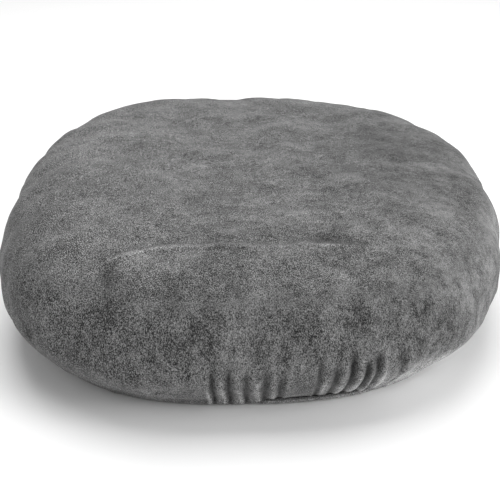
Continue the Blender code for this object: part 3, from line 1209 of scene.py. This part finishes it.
        # The outer rings' painted light and shade, which is stored below as a vertex attribute.
        painted_light_and_shade = np.concatenate([self.painted_light_and_shade(down, turn) for down, turn in places])
        lift = 0.0026 * self.seam_lift(coarse_turn)
        flange_top = self.flange_level + 0.0016
        for radius, height in (
            (0.2552, self.flange_level),
            (self.tail_end, self.flange_level),
            (self.tail_end, flange_top),
            (0.2545, flange_top),
        ):
            plan = self.form.rim(radius, coarse_turn)
            blocks.append(self.form.settled(np.c_[plan, height + lift * (radius > 0.25)]))
        blocks += self.inner_rings(coarse_turn)
        crown = SHOP.shell("velvet_cover", blocks)
        painted_tone = np.zeros(len(crown.data.vertices))
        painted_tone[: len(painted_light_and_shade)] = painted_light_and_shade
        crown.data.attributes.new(PAINTED_LIGHT_ATTRIBUTE, "FLOAT", "POINT").data.foreach_set("value", painted_tone.astype(np.float32))
        SHOP.place(crown, Body.CUSHION, VELVET, "velvet_crown")

    def inner_rings(self, turn: np.ndarray) -> list[np.ndarray]:
        """Rings of the inner face from the hem up to the top centre.

        Args:
            turn: Directions round Z, in radians.

        Returns:
            One block of points for each ring.
        """
        last = self.form.lengths()[-1]
        blocks = []
        for down in np.linspace(last - 0.016, 0.02, 22):
            places = np.full(len(turn), down)
            inset = self.velvet + self.hem_ease * smooth_fall(np.array(last - down), 0.075, 0.115)
            face = self.form.surface(places, turn) - self.form.normal(places, turn) * inset
            blocks.append(self.form.settled(face))
        top = np.array([[0.0, 0.0, self.form.height - self.velvet - 0.001]])
        return blocks + [top]

    def build_piping(self) -> None:
        """Make the velvet sleeve round the piping, its two tails, and the twisted cord inside."""
        turn = np.linspace(0.0, math.tau, 720, endpoint=False)
        lift = self.seam_lift(turn)
        centre_out, centre_level = 0.0036 * lift, self.piping_level + 0.0019 * lift
        wobble = 0.00012 * np.sin(turn * 61) + 0.0001 * np.sin(turn * 143 + 1.0)
        middle, half = self.sleeve_radius - 0.0004, 0.0004
        spread = 0.00055
        opening = math.asin(spread / middle)
        section = []
        for radius, order in ((middle + half, 1), (middle - half, -1)):
            arc = np.linspace(-math.pi / 2 + opening, 1.5 * math.pi - opening, 18)[::order]
            rounds = [(radius * math.sin(a), radius * math.cos(a)) for a in arc]
            section.append(rounds)
        tail = self.tail_end - self.piping_radius
        profile = [(tail, spread - half), (tail, spread + half), *section[0]]
        profile += [(tail, -spread - half), (tail, -spread + half), *section[1]]
        blocks = []
        for out, up in profile:
            swell = 1.0 + wobble / self.sleeve_radius * (out > tail + 1e-6)
            ring = self.form.rim(self.piping_radius, turn, centre_out + out * swell)
            blocks.append(self.form.settled(np.c_[ring, centre_level + up * swell]))
        sleeve = SHOP.shell("piping_cover", blocks, closed=True)
        SHOP.place(sleeve, Body.CUSHION, PIPING_VELVET_PAINTED_LIGHT, "piping_sleeve")
        self.hem_length()
        self.build_cord(turn, centre_out, centre_level)

    def build_seam(self) -> None:
        """Make the stitches that join the crown to its piping, each a short sunk thread."""
        pitch, share = 0.0045, 0.62
        count = int(self.hem_length() / pitch)
        lines = []
        for i in range(count):
            turn = -math.pi / 2 + math.tau * (i + share * np.linspace(0.0, 1.0, 4)) / count
            lift = self.seam_lift(turn)
            rise = 0.0003 * np.sin(np.linspace(0.0, math.pi, 4))
            plan = self.form.rim(self.piping_radius, turn, 0.0020 + 0.0036 * lift + rise)
            level = self.piping_level + 0.0026 + 0.0019 * lift
            lines.append(self.form.settled(np.c_[plan, level]))
        stitches = SHOP.curve("seam_stitching", lines, 0.00028)
        SHOP.place(stitches, Body.CUSHION, DARK_THREAD)

    def build_cord(self, turn: np.ndarray, out: np.ndarray, level: np.ndarray) -> None:
        """Make the three-ply cotton cord inside the piping.

        Args:
            turn: Directions round Z, in radians.
            out: How far its middle stands out from the seam.
            level: Heights of its middle.
        """
        plies, sides, twists = 3, 15, 150
        blocks = []
        for i in range(sides):
            angle = math.tau * i / sides
            lobe = 0.86 + 0.12 * np.cos(plies * (angle - turn * twists / plies))
            radius = self.cord_radius * lobe
            ring = self.form.rim(self.piping_radius, turn, out + radius * math.sin(angle))
            blocks.append(self.form.settled(np.c_[ring, level + radius * math.cos(angle)]))
        cord = SHOP.shell("piping_core", blocks, closed=True)
        SHOP.place(cord, Body.CUSHION, COTTON, "piping_cord")


@dataclass
class ClothPass:
    """Blows the cover up like a cushion, to find how its cloth would settle over the filling."""

    form: CushionForm
    voxel: float = 0.006
    slack: float = 0.004
    cap: float = 0.0018
    share: float = 0.6
    frames: int = 20
    pressure: float = 4.0

    def closed_body(self) -> bpy.types.Object:
        """A plain closed body a little smaller than the cushion, remeshed into even faces.

        Returns:
            A mesh object.
        """
        turn = np.linspace(0.0, math.tau, 128, endpoint=False)
        last = self.form.lengths()[-1]
        blocks = [np.array([[0.0, 0.0, self.form.height - self.slack]])]
        for down in np.linspace(0.012, last, 48):
            places = np.full(len(turn), down)
            blocks.append(self.form.surface(places, turn) - self.form.normal(places, turn) * self.slack)
        blocks.append(np.array([[0.0, 0.0, blocks[-1][0, 2]]]))
        body = SHOP.shell("cloth_pass", blocks)
        remesh = body.modifiers.new("Even faces", "REMESH")
        remesh.mode = "VOXEL"
        remesh.voxel_size = self.voxel
        return SHOP.to_mesh(body)

    def run(self) -> Reading:
        """Simulate the cloth under pressure.

        Returns:
            The function that reader() makes.
        """
        body = self.closed_body()
        rest = np.array([v.co for v in body.data.vertices])
        pinned = body.vertex_groups.new(name="seam")
        level = self.form.under_level + self.slack + 0.010
        pinned.add([i for i, z in enumerate(rest[:, 2]) if z < level], 1.0, "REPLACE")
        draw = SoftNoise(0.07, 21)
        slack = rest * (1.0 + 0.004 * draw(rest)[:, None])
        body.data.vertices.foreach_set("co", slack.astype(np.float32).ravel())
        cloth = body.modifiers.new("Cloth", "CLOTH")
        settings = cloth.settings
        settings.quality = 5
        settings.mass = 0.3
        settings.tension_stiffness = settings.compression_stiffness = 12.0
        settings.shear_stiffness = 6.0
        settings.bending_stiffness = 0.6
        settings.use_pressure = True
        settings.uniform_pressure_force = self.pressure
        settings.effector_weights.gravity = 0.0
        settings.vertex_group_mass = "seam"
        scene = bpy.context.scene
        for number in range(1, self.frames + 1):
            scene.frame_set(number)
        graph = bpy.context.evaluated_depsgraph_get()
        settled = bpy.data.meshes.new_from_object(body.evaluated_get(graph))
        corners = [vertex.co for vertex in settled.vertices]
        tree = BVHTree.FromPolygons(corners, [tuple(face.vertices) for face in settled.polygons])
        bpy.data.objects.remove(body, do_unlink=True)
        bpy.data.meshes.remove(settled)
        scene.frame_set(1)
        return self.reader(tree)

    def reader(self, tree: BVHTree) -> Reading:
        """Read the settled cloth along the form's normals, on a grid.

        Args:
            tree: The settled cloth.

        Returns:
            A function of distances down the side and directions that gives the cloth's waves: how
            far it stands from its mean at that height, within the cap.
        """
        far, rows, columns = 0.03, 72, 180
        downs = np.linspace(0.004, self.form.lengths()[-1] - 0.004, rows)
        turns = np.linspace(0.0, math.tau, columns, endpoint=False)
        down, turn = np.meshgrid(downs, turns, indexing="ij")
        points, ways = self.form.surface(down, turn), self.form.normal(down, turn)
        found = np.zeros((rows, columns))
        for place in np.ndindex(rows, columns):
            hit = tree.ray_cast(Vector(points[place] + ways[place] * far), Vector(-ways[place]), 2 * far)
            found[place] = far - hit[3] if hit[0] is not None else np.nan
        missed = np.isnan(found)
        counts = np.maximum((~missed).sum(axis=1, keepdims=True), 1)
        means = np.where(missed, 0.0, found).sum(axis=1, keepdims=True) / counts
        waves = np.nan_to_num(found - means)
        broad = np.fft.rfft(waves, axis=1)
        broad[:, :5] = 0.0
        waves = np.fft.irfft(broad, columns, axis=1)
        waves[1:-1] = (waves[:-2] + 2.0 * waves[1:-1] + waves[2:]) / 4.0
        waves = self.cap * np.tanh(self.share * waves / self.cap) * smooth_fall(-downs, -0.08, -0.02)[:, None]
        closed = np.concatenate([waves, waves[:, :1]], axis=1)

        def read(down: np.ndarray, turn: np.ndarray) -> np.ndarray:
            """The waves at distances down the side and directions."""
            row = np.interp(down, downs, np.arange(rows))
            column = np.mod(turn, math.tau) / math.tau * columns
            i = np.minimum(row.astype(int), rows - 2)
            j = np.minimum(column.astype(int), columns - 1)
            u, v = row - i, column - j
            upper = closed[i, j] * (1.0 - v) + closed[i, j + 1] * v
            lower = closed[i + 1, j] * (1.0 - v) + closed[i + 1, j + 1] * v
            return upper * (1.0 - u) + lower * u

        return read


# ---------------------------------------------------------------- the base


@dataclass(frozen=True)
class ZipValley:
    """The shallow valley of the base in which the zip lies."""

    centre: float
    lip: float = 0.006
    seam_start: float = 0.82
    seam_end: float = 0.88
    mouth_start: float = 0.715
    mouth_end: float = 0.765

    def rise(self, across: np.ndarray, share: np.ndarray, lift: float, flat: float,
             foot: float) -> np.ndarray:
        """Height of a base layer over the floor's plane.

        Args:
            across: Distances from the zip's centre line.
            share: Places along X as shares of the half width.
            lift: The full rise.
            flat: The distance where the rise starts to fall.
            foot: The distance where it ends.

        Returns:
            The rise.
        """
        side = smooth_fall(across, flat, foot)
        end = smooth_fall(np.abs(share), self.seam_start, self.seam_end)
        return lift * side * end


@dataclass
class BasePanels:
    """The two woven base panels with their topstitching, and the calico base of the liner."""

    form: CushionForm
    valley: ZipValley
    half_width: float = 0.2486
    cloth: float = 0.0012
    lip_level: float = 0.0063
    columns: int = 150

    def panel(self, name: str, rows: np.ndarray, half_width: float, level: float, cloth: float,
              rise: Reading, edge: int = 0) -> bpy.types.Object:
        """A cloth panel with thickness.

        Args:
            name: The piece's name.
            rows: The panel's places along Y.
            half_width: Half the width of the outline that the panel fills.
            level: The height of its lower face.
            cloth: Its thickness.
            rise: Gives the rise from the distance to the zip and the share of the half width.
            edge: The row that follows the zip's lip and seam, or 0 for none.

        Returns:
            The piece.
        """
        share = np.sin(np.linspace(-1.0, 1.0, self.columns) * math.pi / 2)
        y = np.repeat(rows[:, None], self.columns, 1)
        if edge:
            mouth = smooth_fall(np.abs(share), self.valley.mouth_start, self.valley.mouth_end)
            off = 0.00015 + (self.valley.lip - 0.00015) * mouth
            blend = smooth_fall(np.abs(rows - self.valley.centre), self.valley.lip, 0.022)[:, None]
            inward = np.sign(self.valley.centre - rows[edge])
            y = y + blend * inward * (self.valley.lip - off)[None, :]
        shares = np.repeat(share[None, :], len(rows), 0)
        x = shares * half_width * self.form.half_depth(y / half_width)
        z = level + rise(np.abs(y - self.valley.centre), shares)
        lower = self.form.settled(np.stack([x, y, z], -1))
        upper = lower + np.array([0.0, 0.0, cloth])
        return SHOP.slab(name, lower, upper)

    def outer_rise(self, across: np.ndarray, share: np.ndarray) -> np.ndarray:
        """Rise of the base panels."""
        return self.valley.rise(across, share, self.lip_level, 0.010, 0.024)

    def rows(self, half_width: float, low: float, high: float, count: int) -> np.ndarray:
        """Places along Y from low to high, closer together near the outline's front and back."""
        first, last = math.asin(low / half_width), math.asin(high / half_width)
        return half_width * np.sin(np.linspace(first, last, count))

    def build(self) -> None:
        """Make both panels and the stitching beside the zip."""
        zip_y, lip, end = self.valley.centre, self.valley.lip, self.half_width * 0.9994
        front = np.concatenate([
            self.rows(self.half_width, -end, zip_y - 0.026, 60),
            np.linspace(zip_y - 0.024, zip_y - lip, 14),
        ])
        rear = np.concatenate([
            np.linspace(zip_y + lip, zip_y + 0.024, 14),
            self.rows(self.half_width, zip_y + 0.026, end, 34),
        ])
        for name, rows, edge in (("base_panel_front", front, len(front) - 1), ("base_panel_rear", rear, 1)):
            piece = self.panel(name.replace("panel", "cloth"), rows, self.half_width, 0.0, self.cloth,
                               self.outer_rise, edge)
            SHOP.place(piece, Body.CUSHION, BASE_CLOTH, name)
            flat = (2 * self.half_width, rows[-1] - rows[0])
            self.plan_area(rows)
        self.stitch_lips()

    def plan_area(self, rows: np.ndarray) -> float:
        """Flat area of a panel between its first and last row."""
        fine = np.linspace(rows[0], rows[-1], 400)
        return float(np.trapz(2 * self.half_width * self.form.half_depth(fine / self.half_width), fine))

    def stitch_lips(self) -> None:
        """Make a line of lockstitch along each lip of the zip."""
        pitch, long, lines = 0.0034, 0.0026, []
        half = self.half_width * float(self.form.half_depth(np.array(self.valley.centre / self.half_width)))
        reach = half * 0.81
        for side in (-1, 1):
            y = self.valley.centre + side * 0.0082
            for start in np.arange(-reach, reach, pitch):
                xs = start + long * np.linspace(0.0, 1.0, 6)
                sag = 0.00022 * np.sin(np.linspace(0.0, math.pi, 6)) - 0.0001
                lines.append(np.c_[xs, np.full(6, y), self.lip_level - sag])
        stitches = SHOP.curve("zip_stitching", lines, 0.00022)
        SHOP.place(stitches, Body.CUSHION, DARK_THREAD)

    def build_liner(self) -> None:
        """Make the calico base of the liner, which arches over the zip."""
        half_width, level = 0.2365, self.cloth + 0.0003

        def rise(across: np.ndarray, share: np.ndarray) -> np.ndarray:
            """Rise of the liner over the zip."""
            side = smooth_fall(across, 0.016, 0.028)
            return 0.0087 * side * smooth_fall(np.abs(share), 0.88, 0.96)

        rows = self.rows(half_width, -half_width * 0.9994, half_width * 0.9994, 110)
        piece = self.panel("liner_bottom", rows, half_width, level, 0.0008, rise)
        SHOP.place(piece, Body.CUSHION, CALICO, "liner_base")
        area = float(np.trapz(2 * half_width * self.form.half_depth(rows / half_width), rows))
        flat = (2 * half_width, 2 * half_width)


# ---------------------------------------------------------------- the zip


@dataclass
class Zip:
    """The coil zip: tapes, coils, stops, tabs, slider and pull."""

    centre: float
    slider_x: float
    coil_half: float = 0.160
    coil_level: float = 0.00635
    coil_pitch: float = 0.00145
    coil_radius: float = 0.00085
    filament: float = 0.00026
    tape_level: float = 0.0078
    tape_half: float = 0.182
    tape_gap: float = 0.0009
    tape_width: float = 0.0131
    tab_hem: float = 0.002
    tab_stitch_pitch: float = 0.0028
    tab_stitch_inset: float = 0.0016

    def outline(self, left: float, right: float, half: float, radius: float, steps: int = 6,
                half_left: float = 0.0) -> np.ndarray:
        """A rounded rectangle in plan, placed from the slider's middle.

        Args:
            left: Its left end.
            right: Its right end.
            half: Half its width.
            radius: The radius of its corners.
            steps: The steps of each corner.
            half_left: Half its width at the left end, where that differs.

        Returns:
            Its points, anticlockwise.
        """
        points = []
        corners = ((right, -1, 1), (left, 1, 1), (left, 1, -1), (right, -1, -1))
        for quarter, (x, way, side) in enumerate(corners):
            reach = half_left if half_left and x == left else half
            centre = (x + way * radius, side * (reach - radius))
            for i in range(steps + 1):
                turn = math.pi / 2 * (quarter + i / steps)
                points.append((centre[0] + radius * math.cos(turn), centre[1] + radius * math.sin(turn)))
        return np.array(points) + np.array([self.slider_x, self.centre])

    def build_tapes(self) -> None:
        """Make the two tapes, slightly cupped, with a thicker edge at the coil."""
        for name, side in (("zip_tape_front", -1), ("zip_tape_rear", 1)):
            xs = np.linspace(-self.tape_half, self.tape_half, 120)
            offs = np.linspace(self.tape_gap, self.tape_gap + self.tape_width, 9)
            x, off = np.meshgrid(xs, offs, indexing="ij")
            y = self.centre + side * off
            cup = 0.00012 * np.sin(x * 90.0 + side) * (off > 0.004)
            z = self.tape_level + 0.00015 + cup
            thick = 0.00034 + 0.00012 * (off < 0.0026)
            lower, upper = np.stack([x, y, z], -1), np.stack([x, y, z + thick], -1)
            if side > 0:
                lower, upper = lower[::-1], upper[::-1]
            piece = SHOP.slab(name.replace("zip_tape", "zip_ribbon"), lower, upper)
            SHOP.place(piece, Body.CUSHION, TAPE, name)
            flat = (2 * self.tape_half, self.tape_width)

    def build_coils(self) -> None:
        """Wind the two rows of filament, each row shifted half a pitch from the other."""
        turns = int(2 * self.coil_half / self.coil_pitch) - 1
        per_turn = 12
        for name, side in (("zip_coil_front", -1), ("zip_coil_rear", 1)):
            phase = np.arange(turns * per_turn + 1) / per_turn
            x = -turns * self.coil_pitch / 2 + phase * self.coil_pitch + side * self.coil_pitch / 4
            angle = phase * math.tau
            out, up = self.coil_radius * np.cos(angle), self.coil_radius * np.sin(angle)
            line = np.c_[x, self.centre + side * (0.0019 + out), self.coil_level + up]
            piece = SHOP.curve(name.replace("zip_coil", "coil_winding"), [line], self.filament)
            SHOP.place(piece, Body.CUSHION, NYLON, name)

    def build_stops_and_tabs(self) -> None:
        """Dress the metal stops and make the fabric tabs."""
        for name in ("zip_bottom_stop", "zip_top_stop_front", "zip_top_stop_rear"):
            ZINC.dress(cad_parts[name])
        for name in ("zip_end_tab_left", "zip_end_tab_right"):
            low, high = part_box(name)
            middle = (low + high) / 2
            size = high - low
            outline = self.outline(-size.x / 2, size.x / 2, size.y / 2, 0.0006, 3)
            outline += np.array([middle.x - self.slider_x, 0.0])
            tab = SHOP.plate(name.replace("zip_end_tab", "fabric_tab"), [outline], low.z, high.z, 0.0003)
            SHOP.place(tab, Body.CUSHION, BASE_CLOTH, name)
            flat = (size.x + 2 * self.tab_hem, size.y)
            self.stitch_tab(name.replace("zip_end_tab", "tab_stitching"), low, high)

    def stitch_tab(self, name: str, low: Vector, high: Vector) -> None:
        """Make the two lines of stitches that hold a fabric tab down.

        Args:
            name: The stitches' name.
            low: The tab's lowest corner.
            high: The tab's highest corner.
        """
        pitch, lines = self.tab_stitch_pitch, []
        for x in (low.x + self.tab_stitch_inset, high.x - self.tab_stitch_inset):
            for start in np.arange(low.y + 0.0012, high.y - pitch, pitch):
                ys = start + 0.75 * pitch * np.linspace(0.0, 1.0, 5)
                sag = 0.0002 * np.sin(np.linspace(0.0, math.pi, 5)) - 0.0001
                lines.append(np.c_[np.full(5, x), ys, low.z - sag])
        SHOP.place(SHOP.curve(name, lines, 0.0002), Body.CUSHION, DARK_THREAD)

    def build_slider(self) -> None:
        """Make the slider: outer plate with side flanges, post and inner plate, and its bridge."""
        outer = self.outline(-0.0045, 0.0045, 0.0047, 0.0016, half_left=0.0040)
        inner = self.outline(-0.0043, 0.0043, 0.0042, 0.0015, half_left=0.0036)
        post = self.outline(0.0008, 0.0042, 0.0005, 0.0003)
        parts = [
            SHOP.plate("outer_plate", [outer], 0.0036, 0.0048, 0.0003),
            SHOP.plate("inner_plate", [inner], 0.0089, 0.0099, 0.0003),
            SHOP.plate("post", [post], 0.0046, 0.0091, 0.0001),
        ]
        for side in (-1, 1):
            flange = self.outline(-0.0040, 0.0041, 0.0004, 0.0003) + np.array([0.0, side * 0.0043])
            parts.append(SHOP.plate("flange", [flange], 0.0044, 0.0073, 0.00015))
        slider = SHOP.joined("zip_runner", parts)
        SHOP.place(slider, Body.SLIDER, ZINC, "zip_slider")

        turn = np.linspace(0.0, math.pi, 17)
        legs = [0.0034, 0.0026]
        xs = np.concatenate([[0.0026, 0.0026], 0.0026 * np.cos(turn), [-0.0026, -0.0026]])
        zs = np.concatenate([legs, 0.0022 - 0.0014 * np.sin(turn), legs[::-1]])
        lines = []
        for y in np.linspace(-0.0008, 0.0008, 5):
            lines.append(np.c_[self.slider_x + xs, np.full(len(xs), self.centre + y), zs])
        bridge = SHOP.curve("slider_bridge", lines, 0.0004, 8)
        SHOP.place(bridge, Body.SLIDER, ZINC, "zip_bridge")

    def build_pull(self) -> None:
        """Make the pull: a tapered tab with a window for the bridge and a slot for the fingers."""
        low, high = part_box("zip_pull")
        body = self.outline(-0.025, 0.0007, 0.0033, 0.0007, half_left=0.0035)
        window = self.outline(-0.0046, -0.0006, 0.0017, 0.0005)[::-1]
        grip = self.outline(-0.0215, -0.0085, 0.0017, 0.0012)[::-1]
        pull = SHOP.plate("pull_tab", [body, window, grip], low.z, high.z, 0.00025)
        pull.data.shade_smooth()
        pull.data.set_sharp_from_angle(angle=SHARP_ANGLE)
        SHOP.place(pull, Body.PULL, ZINC, "zip_pull")


# ---------------------------------------------------------------- the filling


@dataclass
class Filling:
    """The calico liner, the wadding and the two sheets of foam."""

    form: CushionForm
    around: int = 240
    gap: float = 0.0003
    velvet: float = 0.0020
    liner: float = 0.0008
    wadding: float = 0.0120
    hem_ease: float = 0.0050

    def face(self, inset: float, ease: float, stop: float, waves: float = 0.0,
             start: float = 0.0) -> list[np.ndarray]:
        """Rings of the cushion's form moved inwards, from the top down.

        Args:
            inset: The distance inwards.
            ease: A further distance inwards near the hem, to clear the gathers.
            stop: How far above the hem's end the face stops.
            waves: The height of the cloth's slight waves.
            start: The distance down the side where the face starts.

        Returns:
            One block of points for each ring.
        """
        turn = np.linspace(0.0, math.tau, self.around, endpoint=False)
        last = self.form.lengths()[-1]
        blocks = []
        if not start:
            blocks.append(np.array([[0.0, 0.0, self.form.height - inset - 0.0008]]))
        noise = SoftNoise(0.05, 33)
        for down in np.arange(start or 0.012, last - stop, 0.008):
            places = np.full(len(turn), down)
            points, normals = self.form.surface(places, turn), self.form.normal(places, turn)
            move = inset + ease * smooth_fall(np.array(last - down), 0.075, 0.115) + waves
            blocks.append(points - normals * (move + waves * noise(points))[:, None])
        return blocks

    def rim_ring(self, radius: float, height: float) -> np.ndarray:
        """A level ring with that half width."""
        turn = np.linspace(0.0, math.tau, self.around, endpoint=False)
        return np.c_[self.form.rim(radius, turn), np.full(self.around, height)]

    def body(self, name: str, blocks: list[np.ndarray]) -> bpy.types.Object:
        """Make a mesh from rings that run down the outside and back up the inside."""
        return SHOP.shell(name, [self.form.settled(block) for block in blocks])

    def build_liner(self) -> None:
        """Make the calico liner over the top and sides."""
        outer = self.velvet + self.gap + 0.001
        blocks = self.face(outer, self.hem_ease, 0.018, 0.00015)
        blocks += [self.rim_ring(r, z) for r, z in ((0.252, 0.0096), (0.241, 0.0088), (0.2395, 0.0027))]
        blocks += [self.rim_ring(r, z) for r, z in ((0.2389, 0.0027), (0.2402, 0.0093), (0.2518, 0.0102))]
        blocks += self.face(outer + 0.0006, self.hem_ease, 0.018, 0.00015)[::-1]
        piece = self.body("liner_top", blocks)
        SHOP.place(piece, Body.CUSHION, CALICO, "liner_crown")

    def build_wadding(self) -> None:
        """Make the fibre wadding over the foam."""
        outer = self.velvet + self.liner + 2 * self.gap + 0.001
        blocks = self.face(outer, self.hem_ease, 0.018, 0.0003)
        blocks += [self.rim_ring(r, z) for r, z in ((0.2512, 0.0108), (0.2502, 0.0112), (0.2502, 0.018))]
        blocks += self.face(self.velvet + self.liner + 2 * self.gap + self.wadding, 0.0, 0.026)[::-1]
        piece = self.body("batt_wrap", blocks)
        SHOP.place(piece, Body.CUSHION, BATT, "wadding_wrap")

    def build_foam(self) -> None:
        """Make the two sheets of foam, the lower one grooved over the zip."""
        inset = self.velvet + self.liner + self.wadding + 3 * self.gap + 0.0004
        lengths, profile = self.form.lengths(), self.form.profile()
        middle = float(np.interp(-self.form.bulge_height, -profile[:, 1], lengths))
        upper = [ring for ring in self.face(inset, 0.0, 0.03) if ring[0, 2] > self.form.bulge_height + 0.004]
        radius = self.form.half_width - inset
        upper += [self.rim_ring(radius, self.form.bulge_height + z) for z in (0.0022, 0.0006)]
        upper += [self.rim_ring(radius - 0.002, self.form.bulge_height + 0.0001)]
        upper += [np.array([[0.0, 0.0, self.form.bulge_height + 0.0001]])]
        piece = self.body("foam_sheet_upper", upper)
        SHOP.place(piece, Body.CUSHION, SOFT_FOAM, "foam_upper")
        top = self.form.bulge_height - self.gap - 0.0001
        lower = [np.array([[0.0, 0.0, top]]), self.rim_ring(radius - 0.002, top)]
        lower += [self.rim_ring(radius, top - z) for z in (0.0006, 0.0022)]
        lower += self.face(inset, 0.0, 0.026, start=middle + 0.006)
        lower += [self.rim_ring(r, z) for r, z in ((0.2494, 0.0181), (0.2492, 0.0112), (0.239, 0.0105))]
        lower += [self.rim_ring(0.2372, 0.0030), self.rim_ring(0.2360, 0.0027)]
        lower += [np.array([[0.0, 0.0, 0.0027]])]
        piece = self.grooved(self.body("foam_sheet_lower", lower))
        SHOP.place(piece, Body.CUSHION, FIRM_FOAM, "foam_lower")

    def grooved(self, foam: bpy.types.Object) -> bpy.types.Object:
        """Cut the groove over the zip with a rounded bar.

        Args:
            foam: The lower sheet.

        Returns:
            The same sheet with its groove.
        """
        low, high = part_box("zip_slider")
        centre = (low.y + high.y) / 2
        turn = np.linspace(0.0, math.pi, 24)
        section = np.c_[0.029 * np.cos(turn), -0.002 + 0.0136 * np.sin(turn) ** 0.5]
        section = np.vstack([section, [[-0.029, -0.01], [0.029, -0.01]]])
        count = len(section)
        rings = [np.c_[np.full(count, x), centre + section[:, 0], section[:, 1]] for x in (-0.32, 0.32)]
        faces = [tuple(range(count)), tuple(range(2 * count - 1, count - 1, -1))]
        faces += [(i, i + count, (i + 1) % count + count, (i + 1) % count) for i in range(count)]
        bar = SHOP.mesh("groove_bar", np.vstack(rings), faces)
        form = bmesh.new()
        form.from_mesh(bar.data)
        bmesh.ops.recalc_face_normals(form, faces=form.faces)
        form.to_mesh(bar.data)
        form.free()
        cut = foam.modifiers.new("Groove", "BOOLEAN")
        cut.object = bar
        foam = SHOP.to_mesh(foam)
        bpy.data.objects.remove(bar, do_unlink=True)
        return foam


# ---------------------------------------------------------------- studio


@dataclass(frozen=True)
class SoftLight:
    """A square lamp aimed at a point."""

    name: str
    place: tuple[float, float, float]
    aim: tuple[float, float, float]
    size: float
    power: float

    def hang(self) -> None:
        """Add the lamp to the scene."""
        data = bpy.data.lights.new(self.name, "AREA")
        data.size = self.size
        data.energy = self.power
        lamp = SHOP.linked(self.name, data)
        lamp.location = self.place
        way = Vector(self.aim) - Vector(self.place)
        lamp.rotation_euler = way.to_track_quat("-Z", "Y").to_euler()


@dataclass
class Studio:
    """Pale floor, soft lights and the camera."""

    elevation: float = math.radians(28.38)
    azimuth: float = math.radians(0.69)
    distance: float = 1.200
    aim: tuple[float, float, float] = (0.0006, 0.0, 0.0513)
    roll: float = math.radians(-0.07)
    lens: float = 66.84
    floor_side: float = 12.0
    floor_drop: float = 0.0002
    air_strength: float = 0.40
    lamps: tuple[SoftLight, ...] = (
        SoftLight("key_right", (2.2, -0.9, 0.9), (0.0, 0.0, 0.08), 1.2, 45.0),
        SoftLight("fill_front", (-0.9, -2.4, 1.9), (0.0, 0.0, 0.08), 2.0, 8.0),
        SoftLight("overhead", (-0.1, 0.6, 2.6), (0.0, 0.0, 0.0), 2.0, 65.0),
    )

    def build(self) -> None:
        """Set the studio up."""
        half = self.floor_side / 2
        plan = ((-half, -half), (half, -half), (half, half), (-half, half))
        corners = np.array([(x, y, -self.floor_drop) for x, y in plan])
        floor = SHOP.mesh("studio_floor", corners, [(0, 1, 2, 3)])
        floor.data.materials.append(PAPER.material())
        for lamp in self.lamps:
            lamp.hang()
        world = bpy.data.worlds.new("studio_air")
        world.use_nodes = True
        air = world.node_tree.nodes["Background"]
        air.inputs["Color"].default_value = (1.0, 1.0, 1.0, 1.0)
        air.inputs["Strength"].default_value = self.air_strength
        bpy.context.scene.world = world
        bpy.context.scene.view_settings.view_transform = "Standard"
        self.place_camera()

    def place_camera(self) -> None:
        """Put the camera in front of the cushion and a little above it."""
        data = bpy.data.cameras.new("camera")
        data.lens = self.lens
        data.sensor_width = 36.0
        camera = SHOP.linked("camera", data)
        back = Vector((0.0, -math.cos(self.elevation), math.sin(self.elevation)))
        aimed = back.to_track_quat("Z", "Y").to_matrix().to_4x4() @ Matrix.Rotation(self.roll, 4, "Z")
        aimed.translation = Vector(self.aim) + back * self.distance
        camera.matrix_world = Matrix.Rotation(self.azimuth, 4, "Z") @ aimed
        bpy.context.scene.camera = camera


def main() -> None:
    """Build the studio and the cushion from the outside to the inside."""
    logging.basicConfig(level=logging.INFO, format="%(name)s: %(message)s")
    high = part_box("velvet_crown")[1]
    form = CushionForm(half_width=high.x, height=high.z)
    Studio().build()

    cover = VelvetCover(form)
    cover.plan_gathers()
    cover.simulated = ClothPass(form).run()
    cover.build_crown()
    cover.build_piping()
    cover.build_seam()

    low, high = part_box("zip_slider")
    zip_y, slider_x = (low.y + high.y) / 2, (low.x + high.x) / 2
    panels = BasePanels(form, ZipValley(zip_y))
    panels.build()
    panels.build_liner()

    fastener = Zip(zip_y, slider_x)
    fastener.build_tapes()
    fastener.build_coils()
    fastener.build_stops_and_tabs()
    fastener.build_slider()
    fastener.build_pull()

    filling = Filling(form)
    filling.build_liner()
    filling.build_wadding()
    filling.build_foam()


if __name__ == "__main__":
    main()
